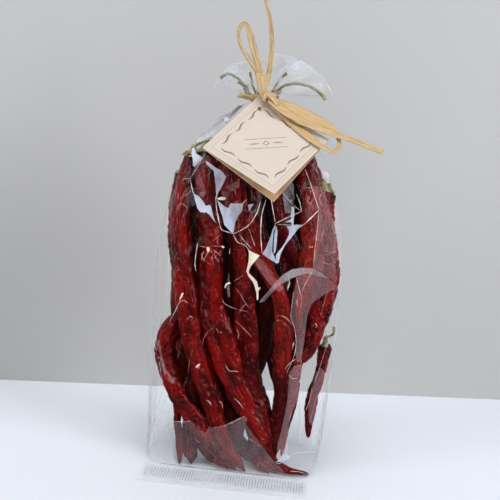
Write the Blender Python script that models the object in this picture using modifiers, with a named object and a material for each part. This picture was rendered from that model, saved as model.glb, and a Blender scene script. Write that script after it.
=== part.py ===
"""A clear gusseted bag full of whole dried chillies.

It stands on its folded base with the seal flap flat in front of it. Raffia gathers its neck, hangs in a loop above
it and ends in a bow, and a folded square card hangs on the knot. The bag is one solid out to its film.
World axes: +X to the right seen from the front, the front faces -Y, +Z up, origin at the middle of the base.
"""

import math

import bmesh
import bpy
import numpy as np
from mathutils import Euler, Vector

MM = 0.001

# The bag, from its base up: height, left, right, front and back reach in mm, and how square its section is.
BAG_PROFILE = (
    (0.0, 45.0, 47.0, 24.5, 22.0, 7.0),
    (3.0, 46.5, 49.0, 25.5, 23.0, 6.0),
    (12.0, 47.0, 50.5, 26.5, 24.5, 4.6),
    (30.0, 48.0, 52.0, 28.0, 26.0, 3.6),
    (75.0, 50.4, 53.5, 31.5, 29.5, 2.9),
    (118.0, 49.5, 52.3, 32.5, 30.0, 2.6),
    (147.0, 47.0, 47.6, 30.0, 27.5, 2.4),
    (164.0, 41.3, 41.5, 25.5, 23.5, 2.3),
    (178.0, 32.0, 33.0, 18.5, 18.0, 2.2),
    (190.0, 19.4, 21.5, 11.5, 11.5, 2.1),
    (198.0, 9.0, 10.0, 6.5, 6.5, 2.0),
    (202.0, 4.2, 4.4, 4.2, 4.2, 2.0),
    (206.0, 4.0, 4.4, 4.0, 4.2, 2.0),
)
BAG_RINGS = 40
BAG_SIDES = 72
RIDGES = 9  # chillies that press through the film, round the bag
RIDGE_DEPTH = 0.028  # as a share of the radius
RIDGE_LEAN = 1.3  # how far a ridge turns from base to shoulder, in radians
RIDGE_FROM, RIDGE_FULL, RIDGE_FADE, RIDGE_TO = 24 * MM, 54 * MM, 142 * MM, 172 * MM
PLEATS = 12  # folds that gather into the neck
PLEAT_DEPTH = 0.075
PLEAT_BUNCHING = 0.8  # how much closer the pleats lie at the sides
PLEAT_FROM, PLEAT_FULL, PLEAT_FADE, PLEAT_TO = 160 * MM, 193 * MM, 199 * MM, 201 * MM
GUSSET_DEPTH = 0.20  # the side fold that tucks in below the neck, as a share of the half width
GUSSET_HALF_ANGLE = 0.42
GUSSET_FROM, GUSSET_TO = 120 * MM, 186 * MM

# The open mouth of the film above the neck, a flat fan.
NECK_HEIGHT = 206 * MM
NECK_X = 0.5 * MM
NECK_RADIUS_X, NECK_RADIUS_Y = 4.2 * MM, 4.1 * MM
FLARE_RIGHT, FLARE_LEFT = 34.5 * MM, 26.0 * MM
FLARE_RISE, FLARE_TILT = 20.0 * MM, 3.0 * MM
FLARE_DEPTH, FLARE_BACK = 8.5 * MM, 5.0 * MM
FLARE_ARCH = 1.2  # above 1 the rim's front and back rise to a point
FLARE_SPREAD, FLARE_CLIMB = 1.25, 0.85  # how late the mouth widens, and how early it rises
FLARE_STEPS = 7
FLARE_INNER_FROM = 0.45
FLARE_WALL = 1.0 * MM
FLARE_SIDE_DROP = 2.0  # the inner side's rise at the two ends of the rim, in walls
FLARE_PLEATS = 11
FLARE_PLEAT_DEPTH = 1.1 * MM

# The bottom seal, folded forward on to the surface.
FLAP_WIDTH, FLAP_LENGTH, FLAP_THICKNESS = 90.5 * MM, 22.5 * MM, 0.6 * MM
FLAP_OVERLAP = 2.0 * MM

# The card: a square folded along its upper left edge, leaning out from the neck.
TAG_SIDE, TAG_THICKNESS = 45.5 * MM, 0.5 * MM
TAG_TOP = Vector((-0.9, -8.6, 205.2)) * MM
TAG_LEAN, TAG_SPIN, TAG_TURN = math.radians(47.5), math.radians(-11.3), math.radians(3.0)
TAG_GAP = 6.2 * MM  # between the two leaves at the bottom corner
TAG_HOLE_DROP, TAG_HOLE_RADIUS = 8.6 * MM, 1.5 * MM
PUNCH_DEPTH, PUNCH_SIDES = 12 * MM, 20
TAG_CELLS = 8

# Raffia: flat strips. Widths and places in mm. On the card: right, down and out from it, from its top corner.
STRIP_THICKNESS = 0.7 * MM
STRIP_FLAT = 0.72  # the flat part of a strip's width
WRAP_RADIUS, WRAP_WIDTH, WRAP_HEIGHT = 5.3 * MM, 3.6 * MM, 203.9 * MM
WRAP_SIDES = 28
KNOT_AT, KNOT_SIZE = (4.7, 4.4, 3.4), (2.5, 2.1, 3.0)
BOW_LOOP = (
    (4.0, 4.0, 3.4, 3.0),
    (8.5, 8.2, 3.6, 5.2),
    (15.0, 12.0, 3.6, 6.4),
    (22.0, 17.2, 3.4, 6.6),
    (29.0, 22.6, 3.2, 6.0),
    (34.2, 28.2, 3.0, 4.4),
    (36.6, 34.0, 2.4, 3.4),
    (36.2, 39.0, 2.0, 3.2),
    (33.0, 42.2, 1.8, 3.4),
    (29.0, 40.6, 1.6, 3.4),
    (23.0, 35.6, 1.4, 3.6),
    (17.2, 27.6, 1.4, 3.4),
    (12.4, 19.6, 1.6, 3.0),
    (8.4, 12.8, 2.4, 2.8),
    (5.2, 6.6, 3.2, 2.8),
)
TAIL = (
    (5.0, 6.4, 4.4, 3.0),
    (9.5, 13.0, 4.6, 3.6),
    (19.0, 21.0, 4.6, 4.2),
    (32.0, 29.4, 4.6, 4.2),
    (44.0, 36.8, 4.8, 4.0),
    (57.0, 44.6, 5.2, 3.8),
)
# Across, out and up in the world, with each width.
STUB = ((-3.6, -4.6, 203.4, 2.4), (-6.4, -5.8, 204.4, 2.6), (-9.4, -6.6, 204.9, 2.4), (-12.0, -7.0, 204.4, 1.8))
LINK = ((3.4, -4.2, 203.8, 3.0), (5.4, -7.8, 204.7, 3.2), (5.0, -12.6, 205.2, 3.0))
SHEATH = (
    (3.8, -12.6, 204.8, 3.4),
    (2.0, -11.2, 208.2, 5.2),
    (1.0, -10.0, 212.6, 6.6),
    (0.6, -9.0, 217.6, 8.0),
)
HANGING_LOOP = (
    (-1.4, -9.1, 214.2, 3.4),
    (-3.4, -8.6, 219.0, 3.4),
    (-8.4, -7.6, 225.0, 3.2),
    (-12.8, -7.0, 231.6, 3.0),
    (-14.0, -6.6, 237.4, 2.8),
    (-12.2, -6.4, 241.6, 2.6),
    (-9.2, -6.4, 240.0, 3.0),
    (-7.0, -7.0, 234.0, 3.8),
    (-4.6, -7.8, 227.4, 4.2),
    (-1.8, -8.6, 220.4, 4.0),
    (-0.4, -9.1, 214.6, 3.6),
)
HANGING_STRAND = (
    (3.0, -9.1, 213.6, 3.2),
    (3.8, -8.6, 219.4, 3.2),
    (3.9, -8.0, 227.0, 3.0),
    (3.5, -7.4, 236.0, 3.0),
    (1.6, -7.0, 245.0, 2.8),
    (-1.0, -6.6, 253.6, 2.8),
    (-3.4, -6.4, 262.0, 2.6),
)
POINTS_PER_SPAN = 4


def clear_scene():
    for thing in list(bpy.data.objects):
        bpy.data.objects.remove(thing, do_unlink=True)


def new_collection(name):
    collection = bpy.data.collections.new(name)
    bpy.context.scene.collection.children.link(collection)
    return collection


def new_material(name, colour, roughness):
    material = bpy.data.materials.new(name)
    material.use_nodes = True
    shader = material.node_tree.nodes["Principled BSDF"]
    shader.inputs["Base Color"].default_value = (*colour, 1.0)
    shader.inputs["Roughness"].default_value = roughness
    shader.inputs["Metallic"].default_value = 0.0
    return material


def new_object(name, mesh, collection, material=None):
    thing = bpy.data.objects.new(name, mesh)
    collection.objects.link(thing)
    if material:
        mesh.materials.clear()
        mesh.materials.append(material)
    return thing


def loft(name, rings, end_tip=None):
    """A closed skin over rings of as many points each, flat at the start, and at the end unless a tip closes it."""
    shape = bmesh.new()
    rows = [[shape.verts.new(point) for point in ring] for ring in rings]
    count = len(rows[0])
    for low, high in zip(rows, rows[1:]):
        for i in range(count):
            j = (i + 1) % count
            shape.faces.new((low[i], low[j], high[j], high[i]))
    shape.faces.new(rows[0])
    if end_tip is None:
        shape.faces.new(rows[-1])
    else:
        point = shape.verts.new(end_tip)
        for i in range(count):
            shape.faces.new((rows[-1][i], rows[-1][(i + 1) % count], point))
    bmesh.ops.recalc_face_normals(shape, faces=shape.faces)
    mesh = bpy.data.meshes.new(name)
    shape.to_mesh(mesh)
    shape.free()
    mesh.shade_smooth()
    mesh.set_sharp_from_angle(angle=math.radians(40))
    return mesh


def fuse(name, pieces, collection, material):
    """One solid from overlapping pieces: the first joined with the rest by one union."""
    rest = new_collection(name + "_pieces")
    for piece in pieces[1:]:
        collection.objects.unlink(piece)
        rest.objects.link(piece)
    union = pieces[0].modifiers.new("union", "BOOLEAN")
    union.operation = "UNION"
    union.solver = "EXACT"
    union.operand_type = "COLLECTION"
    union.collection = rest
    evaluated = pieces[0].evaluated_get(bpy.context.evaluated_depsgraph_get())
    mesh = bpy.data.meshes.new_from_object(evaluated)
    mesh.transform(pieces[0].matrix_world)
    for piece in pieces:
        bpy.data.objects.remove(piece, do_unlink=True)
    bpy.data.collections.remove(rest)
    return new_object(name, mesh, collection, material)


def smooth_row(rows, t):
    """The row at place t, from 0 to 1, on a smooth curve through all the rows."""
    rows = np.asarray(rows, dtype=float)
    place = min(max(t, 0.0), 1.0) * (len(rows) - 1)
    i = min(int(place), len(rows) - 2)
    f = place - i
    before, start, end, after = (rows[min(max(k, 0), len(rows) - 1)] for k in (i - 1, i, i + 1, i + 2))
    slope_in, slope_out = (end - before) / 2, (after - start) / 2
    return (
        start * (2 * f**3 - 3 * f**2 + 1)
        + slope_in * (f**3 - 2 * f**2 + f)
        + end * (3 * f**2 - 2 * f**3)
        + slope_out * (f**3 - f**2)
    )


def ease(value, low, high):
    """0 below low and 1 above high, smooth between."""
    share = min(max((value - low) / (high - low), 0.0), 1.0)
    return share * share * (3 - 2 * share)


def bag_ring(place):
    """The bag's section at a share of its way up, as points anticlockwise from the right."""
    height, left, right, front, back, square = smooth_row(BAG_PROFILE, place)
    z = height * MM
    ridge = RIDGE_DEPTH * ease(z, RIDGE_FROM, RIDGE_FULL) * (1 - ease(z, RIDGE_FADE, RIDGE_TO))
    pleat = PLEAT_DEPTH * ease(z, PLEAT_FROM, PLEAT_FULL) * (1 - ease(z, PLEAT_FADE, PLEAT_TO))
    tuck = GUSSET_DEPTH * ease(z, GUSSET_FROM, GUSSET_TO) * (1 - ease(z, PLEAT_FULL, PLEAT_TO))
    ring = []
    for k in range(BAG_SIDES):
        turn = 2 * math.pi * k / BAG_SIDES
        across, along = math.cos(turn), math.sin(turn)
        x = (right if across > 0 else left) * math.copysign(abs(across) ** (2 / square), across)
        y = (back if along > 0 else front) * math.copysign(abs(along) ** (2 / square), along)
        swell = 1 + ridge * math.cos(RIDGES * turn + RIDGE_LEAN * z / RIDGE_TO)
        swell += pleat * math.cos(PLEATS * turn + PLEAT_BUNCHING * math.sin(2 * turn))
        from_side = min(turn, abs(turn - math.pi), 2 * math.pi - turn)
        x *= 1 - tuck * math.exp(-((from_side / GUSSET_HALF_ANGLE) ** 2))
        ring.append((x * swell * MM, y * swell * MM, z))
    return ring


def flare_ring(share, inset):
    """A ring of the open mouth at a share of the way from the neck to the rim, inset for its inner side."""
    spread = share**FLARE_SPREAD
    ring = []
    for k in range(BAG_SIDES):
        turn = 2 * math.pi * k / BAG_SIDES
        across, along = math.cos(turn), math.sin(turn)
        reach = (FLARE_RIGHT if across > 0 else FLARE_LEFT) - inset
        rise = (FLARE_RISE + FLARE_TILT * across) * abs(along) ** FLARE_ARCH
        rise += FLARE_SIDE_DROP * inset * (1 - abs(along))
        rim_x = NECK_X + reach * across
        rim_y = FLARE_BACK + (FLARE_DEPTH - inset) * along
        rim_y += FLARE_PLEAT_DEPTH * math.cos(FLARE_PLEATS * turn + math.sin(turn)) * share
        x = (NECK_X * share + NECK_RADIUS_X * across) * (1 - spread) + rim_x * spread
        y = NECK_RADIUS_Y * along * (1 - spread) + rim_y * spread
        ring.append((x, y, NECK_HEIGHT + rise * share**FLARE_CLIMB + inset * (1 - share)))
    return ring


def make_flap(collection):
    """The seal strip, a thin plate that runs forward from the base."""
    bpy.ops.mesh.primitive_cube_add(size=1.0)
    flap = bpy.context.active_object
    length = FLAP_LENGTH + FLAP_OVERLAP
    front = BAG_PROFILE[0][3] * MM
    for corner in flap.data.vertices:
        corner.co.x *= FLAP_WIDTH
        corner.co.y = corner.co.y * length - front - length / 2 + FLAP_OVERLAP
        corner.co.z = (corner.co.z + 0.5) * FLAP_THICKNESS
    for owner in list(flap.users_collection):
        owner.objects.unlink(flap)
    collection.objects.link(flap)
    return flap


def make_bag(collection, material):
    rings = [bag_ring(k / (BAG_RINGS - 1)) for k in range(BAG_RINGS)]
    rings += [flare_ring(k / FLARE_STEPS, 0.0) for k in range(1, FLARE_STEPS + 1)]
    inner = [1 - (1 - FLARE_INNER_FROM) * k / FLARE_STEPS for k in range(FLARE_STEPS + 1)]
    rings += [flare_ring(share, FLARE_WALL) for share in inner]
    bottom = np.mean(rings[-1], axis=0)
    body = new_object("bag_body", loft("bag_body", rings, end_tip=bottom), collection)
    return fuse("bag", [body, make_flap(collection)], collection, material)


def tag_turn():
    """The rotation that leans and turns the card from upright."""
    return Euler((-TAG_LEAN, TAG_SPIN, TAG_TURN), "YXZ").to_matrix()


def on_card(right, down, out):
    """A world point from mm to the right of the card's top corner, down it and out in front of it."""
    return TAG_TOP + tag_turn() @ Vector((right, -out, -down)) * MM


def card_point(along_fold, across, out):
    """A point of the card from shares of its side: down the folded edge, and away from it."""
    right = (across - along_fold) * TAG_SIDE / math.sqrt(2)
    down = (across + along_fold) * TAG_SIDE / math.sqrt(2)
    return TAG_TOP + tag_turn() @ Vector((right, -out, -down))


def leaf_mesh(name, droop):
    """One leaf of the card as a thin plate of cells, its free corner bent back by droop."""
    shape = bmesh.new()
    steps = [k / TAG_CELLS for k in range(TAG_CELLS + 1)]
    faces = []
    for side in (0.5, -0.5):
        grid = [
            [shape.verts.new(card_point(a, b, side * TAG_THICKNESS - droop * a * b)) for b in steps] for a in steps
        ]
        faces.append(grid)
        for i in range(TAG_CELLS):
            for j in range(TAG_CELLS):
                shape.faces.new((grid[i][j], grid[i + 1][j], grid[i + 1][j + 1], grid[i][j + 1]))
    rim = [(i, 0) for i in range(TAG_CELLS)] + [(TAG_CELLS, j) for j in range(TAG_CELLS)]
    rim += [(TAG_CELLS - i, TAG_CELLS) for i in range(TAG_CELLS)] + [(0, TAG_CELLS - j) for j in range(TAG_CELLS)]
    for (i, j), (k, m) in zip(rim, rim[1:] + rim[:1]):
        shape.faces.new((faces[0][i][j], faces[0][k][m], faces[1][k][m], faces[1][i][j]))
    bmesh.ops.triangulate(shape, faces=shape.faces)
    bmesh.ops.recalc_face_normals(shape, faces=shape.faces)
    mesh = bpy.data.meshes.new(name)
    shape.to_mesh(mesh)
    shape.free()
    return mesh


def make_tag(collection, cutters, material):
    """The folded card: both leaves in one piece, with the punched hole through them."""
    front = new_object("card_front", leaf_mesh("card_front", 0.0), collection)
    back = new_object("card_back", leaf_mesh("card_back", TAG_GAP), collection)
    tag = fuse("tag", [front, back], collection, material)
    bpy.ops.mesh.primitive_cylinder_add(vertices=PUNCH_SIDES, radius=TAG_HOLE_RADIUS, depth=PUNCH_DEPTH)
    punch = bpy.context.active_object
    punch.name = "hole_punch"
    punch.location = on_card(0.0, TAG_HOLE_DROP / MM, 0.0)
    punch.rotation_euler = (tag_turn() @ Euler((math.pi / 2, 0, 0)).to_matrix()).to_euler()
    for owner in list(punch.users_collection):
        owner.objects.unlink(punch)
    cutters.objects.link(punch)
    punch.hide_render = True
    punch.display_type = "WIRE"
    cut = tag.modifiers.new("hole", "BOOLEAN")
    cut.operation = "DIFFERENCE"
    cut.solver = "EXACT"
    cut.object = punch
    return tag


def strip(name, route, facing, collection, place=lambda x, y, z: Vector((x, y, z)) * MM):
    """A flat strip of raffia along a smooth route of (three coordinates, width), its flat side towards facing."""
    steps = (len(route) - 1) * POINTS_PER_SPAN
    rows = [smooth_row(route, k / steps) for k in range(steps + 1)]
    points = [place(*row[:3]) for row in rows]
    rings = []
    for k, (point, row) in enumerate(zip(points, rows)):
        ahead = (points[min(k + 1, steps)] - points[max(k - 1, 0)]).normalized()
        side = ahead.cross(facing).normalized()
        out = side.cross(ahead).normalized() * STRIP_THICKNESS / 2
        half = side * row[3] / 2 * MM
        section = ((1, 0), (STRIP_FLAT, 1), (-STRIP_FLAT, 1), (-1, 0), (-STRIP_FLAT, -1), (STRIP_FLAT, -1))
        rings.append([point + half * across + out * thick for across, thick in section])
    return new_object(name, loft(name, rings), collection)


def make_wrap(collection):
    """The turns of raffia round the neck, as one turned ring."""
    half, thick = WRAP_WIDTH / 2, STRIP_THICKNESS
    profile = ((-0.5, -1), (0.5, -1), (0.9, -0.5), (0.5, 0), (0.9, 0.5), (0.5, 1), (-0.5, 1))
    shape = bmesh.new()
    corners = [shape.verts.new((WRAP_RADIUS + a * thick, 0, WRAP_HEIGHT + b * half)) for a, b in profile]
    for first, second in zip(corners, corners[1:] + corners[:1]):
        shape.edges.new((first, second))
    mesh = bpy.data.meshes.new("wrap")
    shape.to_mesh(mesh)
    shape.free()
    wrap = new_object("wrap", mesh, collection)
    screw = wrap.modifiers.new("turn", "SCREW")
    screw.steps = screw.render_steps = WRAP_SIDES
    screw.use_merge_vertices = True
    screw.merge_threshold = 0.00001
    evaluated = wrap.evaluated_get(bpy.context.evaluated_depsgraph_get())
    turned = bpy.data.meshes.new_from_object(evaluated)
    bpy.data.objects.remove(wrap, do_unlink=True)
    shape = bmesh.new()
    shape.from_mesh(turned)
    bmesh.ops.recalc_face_normals(shape, faces=shape.faces)
    shape.to_mesh(turned)
    shape.free()
    return new_object("wrap", turned, collection)


def make_knot(collection):
    """The knot, a squashed ball in front of the card's top corner."""
    bpy.ops.mesh.primitive_uv_sphere_add(segments=14, ring_count=8, radius=1.0)
    knot = bpy.context.active_object
    centre, turn = on_card(*KNOT_AT), tag_turn()
    for corner in knot.data.vertices:
        size = Vector(tuple(c * s for c, s in zip(corner.co, KNOT_SIZE)))
        corner.co = centre + turn @ size * MM
    for owner in list(knot.users_collection):
        owner.objects.unlink(knot)
    collection.objects.link(knot)
    return knot


def make_raffia(collection, material):
    card_out = tag_turn() @ Vector((0, -1, 0))
    front = Vector((0, -1, 0.15)).normalized()
    pieces = [
        make_wrap(collection),
        make_knot(collection),
        strip("bow_loop", BOW_LOOP, card_out, collection, on_card),
        strip("tail", TAIL, card_out, collection, on_card),
        strip("stub", STUB, front, collection),
        strip("link", LINK, Vector((0.3, -0.2, 1)).normalized(), collection),
        strip("sheath", SHEATH, front, collection),
        strip("hanging_loop", HANGING_LOOP, front, collection),
        strip("hanging_strand", HANGING_STRAND, front, collection),
    ]
    return fuse("raffia", pieces, collection, material)


def main():
    clear_scene()
    collection = new_collection("bag_of_dried_chillies")
    cutters = new_collection("cutters")
    make_bag(collection, new_material("film_over_chillies", (0.22, 0.02, 0.015), 0.2))
    make_tag(collection, cutters, new_material("cream_card", (0.80, 0.70, 0.58), 0.7))
    make_raffia(collection, new_material("straw_raffia", (0.60, 0.40, 0.19), 0.6))


main()
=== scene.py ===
"""A clear gusseted bag of whole dried chillies, tied with raffia, with a folded card on its knot.

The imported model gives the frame. The bag's solid is replaced by clear film with the chillies inside it, the
raffia by fibrous strips and the card by two ruled leaves. All is in metres, +Z up, and the front faces -Y.
"""

import math
import random

import bmesh
import bpy
import numpy as np
from mathutils import Euler, Matrix, Vector
from mathutils.bvhtree import BVHTree
from mathutils.geometry import delaunay_2d_cdt


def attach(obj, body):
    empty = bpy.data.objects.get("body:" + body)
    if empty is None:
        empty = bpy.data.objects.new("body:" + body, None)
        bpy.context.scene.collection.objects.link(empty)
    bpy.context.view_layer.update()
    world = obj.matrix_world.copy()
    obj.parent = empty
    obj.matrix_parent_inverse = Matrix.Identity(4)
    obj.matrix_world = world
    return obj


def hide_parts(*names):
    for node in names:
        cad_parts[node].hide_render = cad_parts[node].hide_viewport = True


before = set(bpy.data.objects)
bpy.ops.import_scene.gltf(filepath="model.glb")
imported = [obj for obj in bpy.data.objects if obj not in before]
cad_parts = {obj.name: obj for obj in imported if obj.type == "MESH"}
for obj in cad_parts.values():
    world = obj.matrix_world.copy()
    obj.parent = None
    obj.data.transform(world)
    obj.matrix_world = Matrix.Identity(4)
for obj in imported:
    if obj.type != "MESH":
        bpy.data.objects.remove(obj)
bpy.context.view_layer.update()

MM = 0.001
BODY = "root"

# The camera: where it looks, how far off it is, and its tilts. The picture is 500 by 500.
PICTURE = 500
LOOK_AT = Vector((1.3, 0.0, 121.0)) * MM
CAMERA_DISTANCE = 550 * MM
CAMERA_DOWN, CAMERA_ROUND, CAMERA_ROLL = math.radians(13), math.radians(3.5), math.radians(5)
LENS, SENSOR = 72.0, 36.0
WALL_BEHIND, WALL_TURN = 104 * MM, math.radians(11)

# The bag's film, from its base up: height, left, right, front and back reach in mm, and how square it is.
BAG_PROFILE = (
    (0.0, 45.0, 47.0, 24.5, 22.0, 7.0),
    (3.0, 46.5, 49.0, 25.5, 23.0, 6.0),
    (12.0, 47.0, 50.5, 26.5, 24.5, 4.6),
    (30.0, 48.0, 52.0, 28.0, 26.0, 3.6),
    (75.0, 50.4, 53.5, 31.5, 29.5, 2.9),
    (118.0, 49.5, 52.3, 32.5, 30.0, 2.6),
    (147.0, 47.0, 47.6, 30.0, 27.5, 2.4),
    (164.0, 41.3, 41.5, 25.5, 23.5, 2.3),
    (178.0, 36.6, 33.6, 18.5, 18.0, 2.2),
    (190.0, 25.6, 22.5, 11.5, 11.5, 2.1),
    (198.0, 14.0, 11.0, 6.5, 6.5, 2.0),
    (202.0, 4.6, 4.6, 4.2, 4.2, 2.0),
    (206.0, 4.0, 4.4, 4.0, 4.2, 2.0),
)
FILM_SIDES, FILM_RINGS = 64, 48
FILM_JITTER = 0.36  # of a cell, so that the film's facets are uneven
FILM_TIGHT_BELOW, FILM_SLACK_TO, FILM_TIGHT_FROM = 0.08, 0.86, 0.94  # shares of its height
CRUMPLE, CRUMPLE_IN, CRUMPLE_OUT = 1.3 * MM, 0.75, 0.25
PLEATS, PLEAT_DEPTH, PLEAT_SWAY = 12, 0.10, 0.8
PLEAT_FROM, PLEAT_FULL, PLEAT_FADE, PLEAT_TO = 158 * MM, 193 * MM, 199 * MM, 201 * MM
GUSSET_DEPTH, GUSSET_HALF_ANGLE = 0.20, 0.42
GUSSET_FROM, GUSSET_TO = 120 * MM, 186 * MM
# How much of the film's shine shows: everywhere, in patches, where it turns away, by a power, and on scuffs.
PLAIN_SHINE, PATCH_SHINE, EDGE_SHINE, EDGE_POWER, SCUFF_SHINE = 0.006, 0.030, 0.42, 4.5, 0.010

# The open mouth of the film above the neck.
NECK_HEIGHT, NECK_X = 206 * MM, 0.5 * MM
FLARE_RIGHT, FLARE_LEFT = 37.5 * MM, 26.5 * MM
FLARE_RISE, FLARE_TILT = 20.0 * MM, 3.0 * MM
FLARE_DEPTH, FLARE_BACK = 8.5 * MM, 5.0 * MM
NECK_ACROSS, NECK_DEEP = 4.2 * MM, 4.1 * MM
FLARE_ARCH = 1.2  # how steeply the rim arches
FLARE_SPREAD, FLARE_CLIMB = 1.25, 0.85  # how the mouth widens and rises
FLARE_STEPS, FLARE_PLEATS, FLARE_PLEAT_DEPTH = 11, 11, 1.3 * MM
FLARE_WALL, FLARE_INNER_FROM, FLARE_SIDE_LIFT = 0.5 * MM, 0.3, 2.0
RIM_WAVES = ((5, 0.07, 1.0), (13, 0.045, 0.0))  # how many, how high, and where they start

# The painted reflections, highlights and shade laid on the film, as patches and creases. The size of a
# patch's cells is in pixels.
PATCH_CELL, PATCH_REACH, PATCH_SLIDE = 2.0, 8 * MM, 0.5
TRACED_LIFT, SCATTERED_LIFT, ROUTE_STEPS = 0.08 * MM, 0.05 * MM, 14
GLIMMERS, NECK_FOLDS, BACK_FOLDS = 90, 34, 30  # how many are scattered

# The seal flap in front of the base, with its crimped strip.
FLAP_WIDTH, FLAP_LENGTH, FLAP_THICKNESS = 90.5 * MM, 22.5 * MM, 0.5 * MM
FLAP_TUCK, FLAP_CURL, FLAP_COLUMNS, FLAP_ROWS = 1.5 * MM, 0.35 * MM, 46, 12
CRIMP_PITCH, CRIMP_LENGTH, CRIMP_FROM = 1.5 * MM, 13.0 * MM, 4.0 * MM
CRIMP_SHARE, CRIMP_THIN, CRIMP_THICK = 0.97, 0.16 * MM, 0.24 * MM

# The card.
TAG_SIDE, TAG_THICKNESS = 45.5 * MM, 0.45 * MM
TAG_TOP = Vector((-0.9, -8.6, 205.2)) * MM
TAG_LEAN, TAG_SPIN, TAG_TURN = math.radians(47.5), math.radians(-11.3), math.radians(3.0)
TAG_GAP = 6.2 * MM
TAG_HOLE_DROP, TAG_HOLE_RADIUS = 8.6 * MM, 1.5 * MM
TAG_CELLS, TAG_BULGE = 40, 0.25 * MM
# Its print, in mm: each rule's distance from the edge, half width and darkness, the dashes and the ornament.
CARD_RULES = ((1.5, 0.09, 0.45), (2.4, 0.08, 0.35), (3.4, 0.12, 0.62))
DASHES, DASH_FROM, DASH_LENGTH, DASH_GAP = 3, 7.2, 9.2, 1.4
DASH_IN, DASH_SWAY, DASH_SWELL, DASH_DARK = 5.9, 0.62, 0.42, 0.85
BAR_AT, BAR_REACH, DIAMOND_REACH, ORNAMENT_DARK = 3.1, 10.5, 1.5, 0.62
PETAL_AT, PETAL_FROM, PETAL_TO = 6.0, 3.0, 8.8


def smooth_row(rows, t):
    """The row at place t, from 0 to 1, on a smooth curve through all the rows."""
    rows = np.asarray(rows, dtype=float)
    place = min(max(t, 0.0), 1.0) * (len(rows) - 1)
    i = min(int(place), len(rows) - 2)
    f = place - i
    before, start, end, after = (rows[min(max(k, 0), len(rows) - 1)] for k in (i - 1, i, i + 1, i + 2))
    slope_in, slope_out = (end - before) / 2, (after - start) / 2
    return (
        start * (2 * f**3 - 3 * f**2 + 1)
        + slope_in * (f**3 - 2 * f**2 + f)
        + end * (3 * f**2 - 2 * f**3)
        + slope_out * (f**3 - f**2)
    )


def ease(value, low, high):
    """0 below low and 1 above high, smooth between."""
    share = min(max((value - low) / (high - low), 0.0), 1.0)
    return share * share * (3 - 2 * share)


def camera_axes():
    """The camera's right, up and back."""
    down, turn, roll = CAMERA_DOWN, CAMERA_ROUND, CAMERA_ROLL
    back = Vector((math.sin(turn) * math.cos(down), -math.cos(turn) * math.cos(down), math.sin(down)))
    level = Vector((math.cos(turn), math.sin(turn), 0))
    up = back.cross(level)
    right = level * math.cos(roll) + up * math.sin(roll)
    return right, up * math.cos(roll) - level * math.sin(roll), back


def sight(pixel):
    """Where the camera stands, and the way it looks through a pixel."""
    right, up, back = camera_axes()
    reach = LENS / SENSOR * PICTURE
    way = right * ((pixel[0] - PICTURE / 2) / reach) + up * ((PICTURE / 2 - pixel[1]) / reach) - back
    return LOOK_AT + back * CAMERA_DISTANCE, way.normalized()


def at_depth(pixel, y):
    """The point seen at a pixel on the upright plane at y."""
    eye, way = sight(pixel)
    return eye + way * ((y - eye.y) / way.y)


def add_camera():
    right, up, back = camera_axes()
    turn = Matrix((right, up, back)).transposed().to_4x4()
    data = bpy.data.cameras.new("camera")
    data.lens, data.sensor_width = LENS, SENSOR
    camera = bpy.data.objects.new("camera", data)
    camera.matrix_world = Matrix.Translation(LOOK_AT + back * CAMERA_DISTANCE) @ turn
    bpy.context.scene.collection.objects.link(camera)
    bpy.context.scene.camera = camera


class Wire:
    """One output of a node. Arithmetic with it adds Math nodes to its sheet."""

    def __init__(self, sheet, socket):
        self.sheet, self.socket = sheet, socket

    def math(self, operation, *others):
        return self.sheet.add("ShaderNodeMath", {"operation": operation}, dict(enumerate((self, *others))))

    def from_left(self, operation, other):
        return self.sheet.add("ShaderNodeMath", {"operation": operation}, {0: other, 1: self})

    def __add__(self, other):
        return self.math("ADD", other)

    def __sub__(self, other):
        return self.math("SUBTRACT", other)

    def __rsub__(self, other):
        return self.from_left("SUBTRACT", other)

    def __mul__(self, other):
        return self.math("MULTIPLY", other)

    def __truediv__(self, other):
        return self.math("DIVIDE", other)

    def __pow__(self, other):
        return self.math("POWER", other)

    def __neg__(self):
        return self.math("MULTIPLY", -1.0)

    def __abs__(self):
        return self.math("ABSOLUTE")

    __radd__, __rmul__ = __add__, __mul__


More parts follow.
